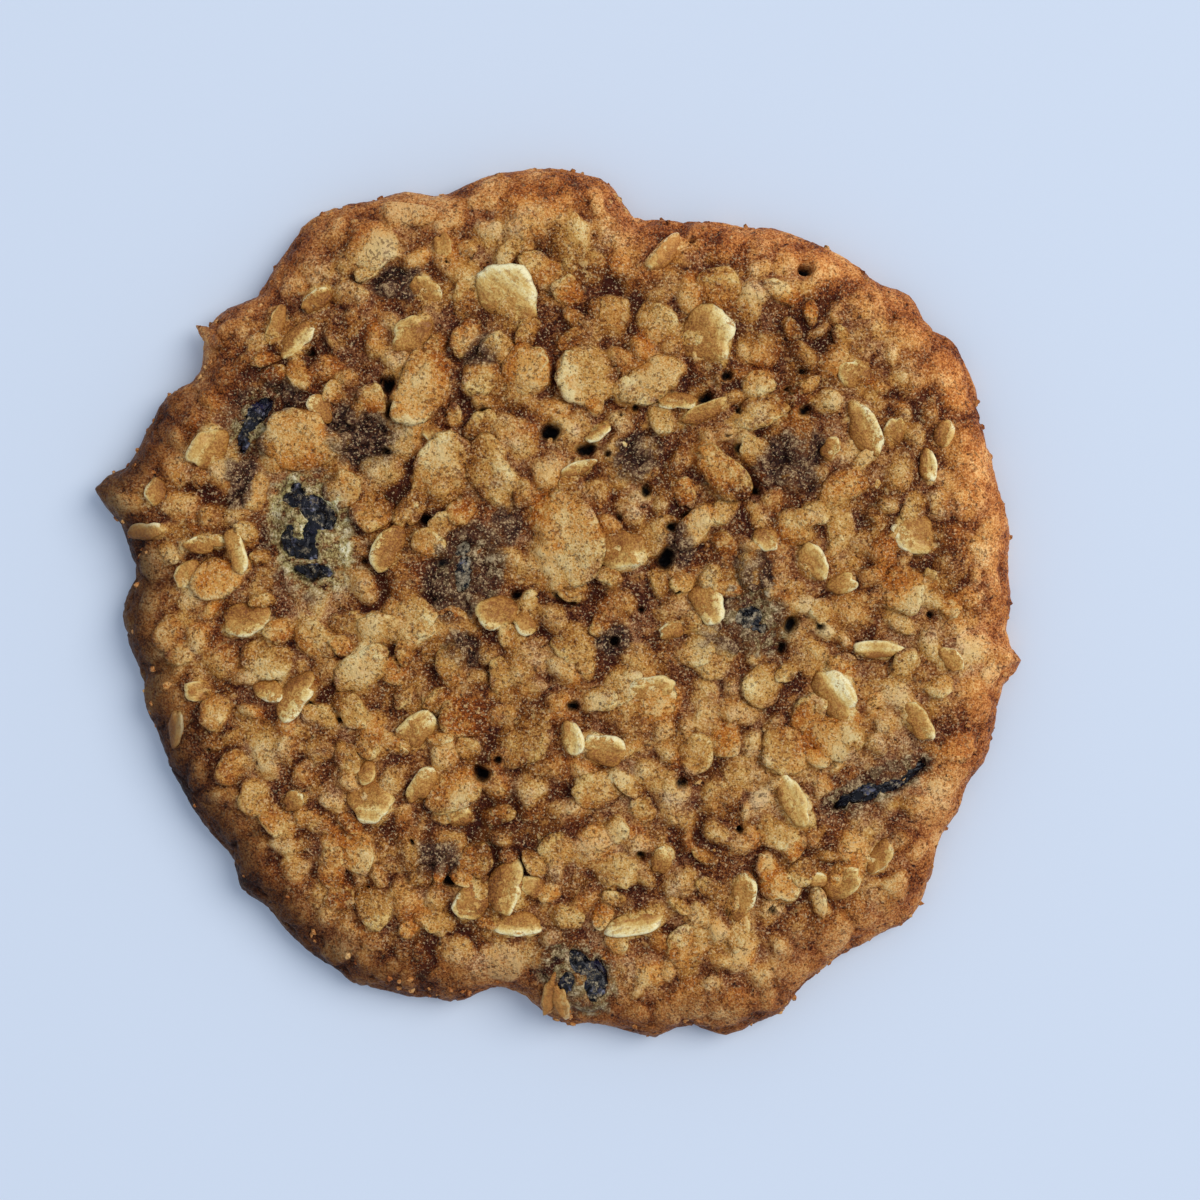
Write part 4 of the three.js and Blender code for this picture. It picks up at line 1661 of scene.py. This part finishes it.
@dataclass
class Raisins:
    """The raisins that show through the crust, each standing for its CAD node."""

    sides: int = 88
    rings: int = 48

    def build(self) -> list[Piece]:
        """Models each raisin."""
        return [self._raisin(bed) for bed in BEDS]

    def _raisin(self, bed: Bed) -> Piece:
        """Wrinkles one raisin and lays it in its pocket.

        Args:
            bed: The raisin's bed.

        Returns:
            The raisin.
        """
        low, high = (np.array(corner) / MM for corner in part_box(bed.node))
        middle = (low + high) / 2
        Steps.clear_selection()
        bpy.ops.mesh.primitive_uv_sphere_add(segments=self.sides, ring_count=self.rings, radius=MM)
        piece = bpy.context.active_object
        ball = Steps.places(piece)
        shift = Vector((middle[0], middle[1], 3.0))
        folds = np.array([self._fold(Vector(p), shift) for p in ball])
        size = np.array([bed.length / 2, bed.width / 2, (high[2] - low[2]) / 2])
        shaped = ball * (1.03 - 0.2 * folds)[:, None] * size
        x, y = spin(shaped[:, 0], shaped[:, 1], math.radians(bed.turn))
        Steps.move(piece, np.stack([x, y, shaped[:, 2]], -1) + middle)
        Steps.mark(piece, "fold", 1 - folds)
        Steps.mark(piece, "dust", np.full(len(ball), bed.dust))
        piece.name = piece.data.name = bed.node + "_skin"
        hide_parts(bed.node)
        return piece

    @staticmethod
    def _fold(direction: Vector, shift: Vector) -> float:
        """Depth of the wrinkles in one direction.

        Args:
            direction: From the raisin's middle, of length 1.
            shift: The raisin's own place in the noise.

        Returns:
            0 on a ridge to 1 in the deepest fold.
        """
        at = Vector((direction.x * 1.3, direction.y * 2.3, direction.z * 2.0)) + shift
        at += 0.35 * solid_noise.noise_vector(at * 1.3)
        broad = 1 - abs(solid_noise.noise(at * 1.1))
        fine = 1 - abs(solid_noise.noise(at * 2.7 + Vector((5, 1, 2))))
        return min(1.0, max(0.0, 0.75 * broad**3 + 0.35 * fine**4))


@dataclass
class Crumbs:
    """Small crumbs and nubs baked onto the crust and the rim, as one piece."""

    section: Section
    relief: Relief
    count: int = 300
    seed: int = 31
    rim_from: float = 0.84
    rim_to: float = 0.985

    def build(self) -> Piece:
        """Models one crumb, copies it over the crust and joins the copies.

        Returns:
            The finished piece.
        """
        draw = random.Random(self.seed)
        Steps.clear_selection()
        bpy.ops.mesh.primitive_ico_sphere_add(subdivisions=2, radius=MM)
        pattern = bpy.context.active_object
        ball = Steps.places(pattern)
        crumbs = []
        for number in range(self.count):
            crumb = pattern.copy()
            crumb.data = pattern.data.copy()
            bpy.context.collection.objects.link(crumb)
            angle = np.array([draw.uniform(-math.pi, math.pi)])
            _, crust, bend, wall = self.section.spans(angle)
            whole = float((crust + bend + wall)[0])
            on_crust = number % 3 == 0
            share = math.sqrt(draw.random()) if on_crust else draw.uniform(self.rim_from, self.rim_to)
            self._lay(crumb, ball, angle, np.array([share * whole]), draw)
            crumbs.append(crumb)
        bpy.data.objects.remove(pattern)
        return Steps.join(crumbs, "crust_crumbs")

    def _lay(self, crumb: Piece, ball: Array, angle: Array, along: Array, draw: random.Random) -> None:
        """Roughens one crumb and sinks it halfway into the crust.

        Args:
            crumb: The copy.
            ball: The pattern's vertices.
            angle: Where it lies, in radians.
            along: Where it lies, along the section.
            draw: Random numbers.
        """
        points, ways = self.section.place(angle, along)
        flat_x, flat_y = self.section.flat(angle, along)
        height = self.relief.at(self.relief.height, flat_x, flat_y)[0]
        size = draw.uniform(0.25, 0.6)
        shift = Vector((draw.uniform(0, 50), draw.uniform(0, 50), 0))
        rough = np.array([0.8 + 0.45 * solid_noise.noise(Vector(p) * 1.7 + shift) for p in ball])
        stretch = np.array([draw.uniform(0.8, 1.5), draw.uniform(0.7, 1.1), draw.uniform(0.5, 0.8)])
        turn = draw.uniform(0, math.pi)
        shaped = ball * rough[:, None] * stretch * size
        x, y = spin(shaped[:, 0], shaped[:, 1], turn)
        middle = points[0] + ways[0] * (height - 0.25 * size)
        placed = np.stack([x, y, shaped[:, 2]], -1) + middle
        placed[:, 2] = np.maximum(placed[:, 2], 0.02)
        Steps.move(crumb, placed)
        rim = float(self.relief.at(self.relief.masks["rim"], flat_x, flat_y)[0])
        tone = draw.random()
        golden, pale = 0.7 * tone, 0.5 * (tone > 0.85)
        values = {"lift": 0.45 + 0.4 * tone, "gold": golden, "toast": 0.4, "cream": pale, "rim": rim}
        for name in MASKS:
            Steps.mark(crumb, name, np.full(len(ball), values.get(name, 0.0)))


# ---------------------------------------------------------------------------------------------
# Studio
# ---------------------------------------------------------------------------------------------


@dataclass
class Studio:
    """The floor, the lights and the camera."""

    floor_colour: Colour = tint(216, 226, 240)
    sky_colour: Colour = (0.62, 0.70, 0.83, 1.0)
    sky_strength: float = 0.76
    key_azimuth: float = 24.0
    key_elevation: float = 50.0
    key_distance: float = 3.0
    key_size: float = 2.2
    key_power: float = 54.0
    key_colour: tuple[float, float, float] = (1.0, 0.97, 0.92)
    view_x: float = 4.9
    view_y: float = 0.2
    view_z: float = 2.5
    view_width: float = 144.0
    lens: float = 70.0
    floor_size: float = 3.0
    floor_gap: float = 0.05

    def build(self) -> None:
        """Sets up everything around the cookie."""
        self._floor()
        self._lights()
        self._camera()
        bpy.context.scene.view_settings.view_transform = "Standard"

    def _floor(self) -> None:
        """Lays the plain pale floor."""
        Steps.clear_selection()
        bpy.ops.mesh.primitive_plane_add(size=self.floor_size, location=(0, 0, -self.floor_gap * MM))
        floor = bpy.context.active_object
        floor.name = "floor"
        recipe = Recipe("floor")
        recipe.set(Base_Color=self.floor_colour, Roughness=0.75, Specular_IOR_Level=0.2)
        floor.data.materials.append(recipe.material)

    def _lights(self) -> None:
        """Hangs one large soft light and lights the rest from all round."""
        scene = bpy.context.scene
        world = bpy.data.worlds.new("sky")
        world.use_nodes = True
        background = world.node_tree.nodes["Background"]
        background.inputs["Color"].default_value = self.sky_colour
        background.inputs["Strength"].default_value = self.sky_strength
        scene.world = world
        azimuth, elevation = math.radians(self.key_azimuth), math.radians(self.key_elevation)
        level = math.cos(elevation)
        way = Vector((math.cos(azimuth) * level, math.sin(azimuth) * level, math.sin(elevation)))
        bpy.ops.object.light_add(type="AREA", location=way * self.key_distance)
        key = bpy.context.active_object
        key.name = "window_light"
        key.data.shape, key.data.size = "DISK", self.key_size
        key.data.energy = self.key_power
        key.data.color = self.key_colour
        key.rotation_mode = "QUATERNION"
        key.rotation_quaternion = way.to_track_quat("Z", "Y")

    def _camera(self) -> None:
        """Sets the camera straight above, a little to the right of the cookie's middle."""
        distance = self.view_width / 2 * self.lens / (SENSOR_WIDTH / 2)
        place = (self.view_x * MM, self.view_y * MM, (distance + self.view_z) * MM)
        bpy.ops.object.camera_add(location=place, rotation=(0, 0, 0))
        camera = bpy.context.active_object
        camera.data.lens = self.lens
        camera.data.clip_start, camera.data.clip_end = 0.01, 10.0
        bpy.context.scene.camera = camera


def main() -> None:
    """Builds the cookie and its studio, and reports each piece."""
    logging.basicConfig(level=logging.INFO, format="%(name)s %(message)s")
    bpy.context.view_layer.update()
    outline = Outline(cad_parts["cookie"])
    section = Section(outline)
    relief = Relief(section)
    log.info("relief: %d oats", len(relief.oats))
    dough_skin, oat_skin, raisin_skin = DoughFinish().make(), OatFinish().make(), RaisinFinish().make()
    Steps.finish(Dough(section, relief).build(), dough_skin, "baked_dough")
    Steps.finish(Flakes(section, relief, "oat_flakes", bare=True).build(), oat_skin, "oat_flake")
    Steps.finish(Flakes(section, relief, "coated_oats", bare=False).build(), dough_skin, "baked_dough")
    for raisin in Raisins().build():
        Steps.finish(raisin, raisin_skin, "raisin_skin")
    Steps.finish(Crumbs(section, relief).build(), dough_skin, "baked_dough")
    Studio().build()


if __name__ == "__main__":
    main()
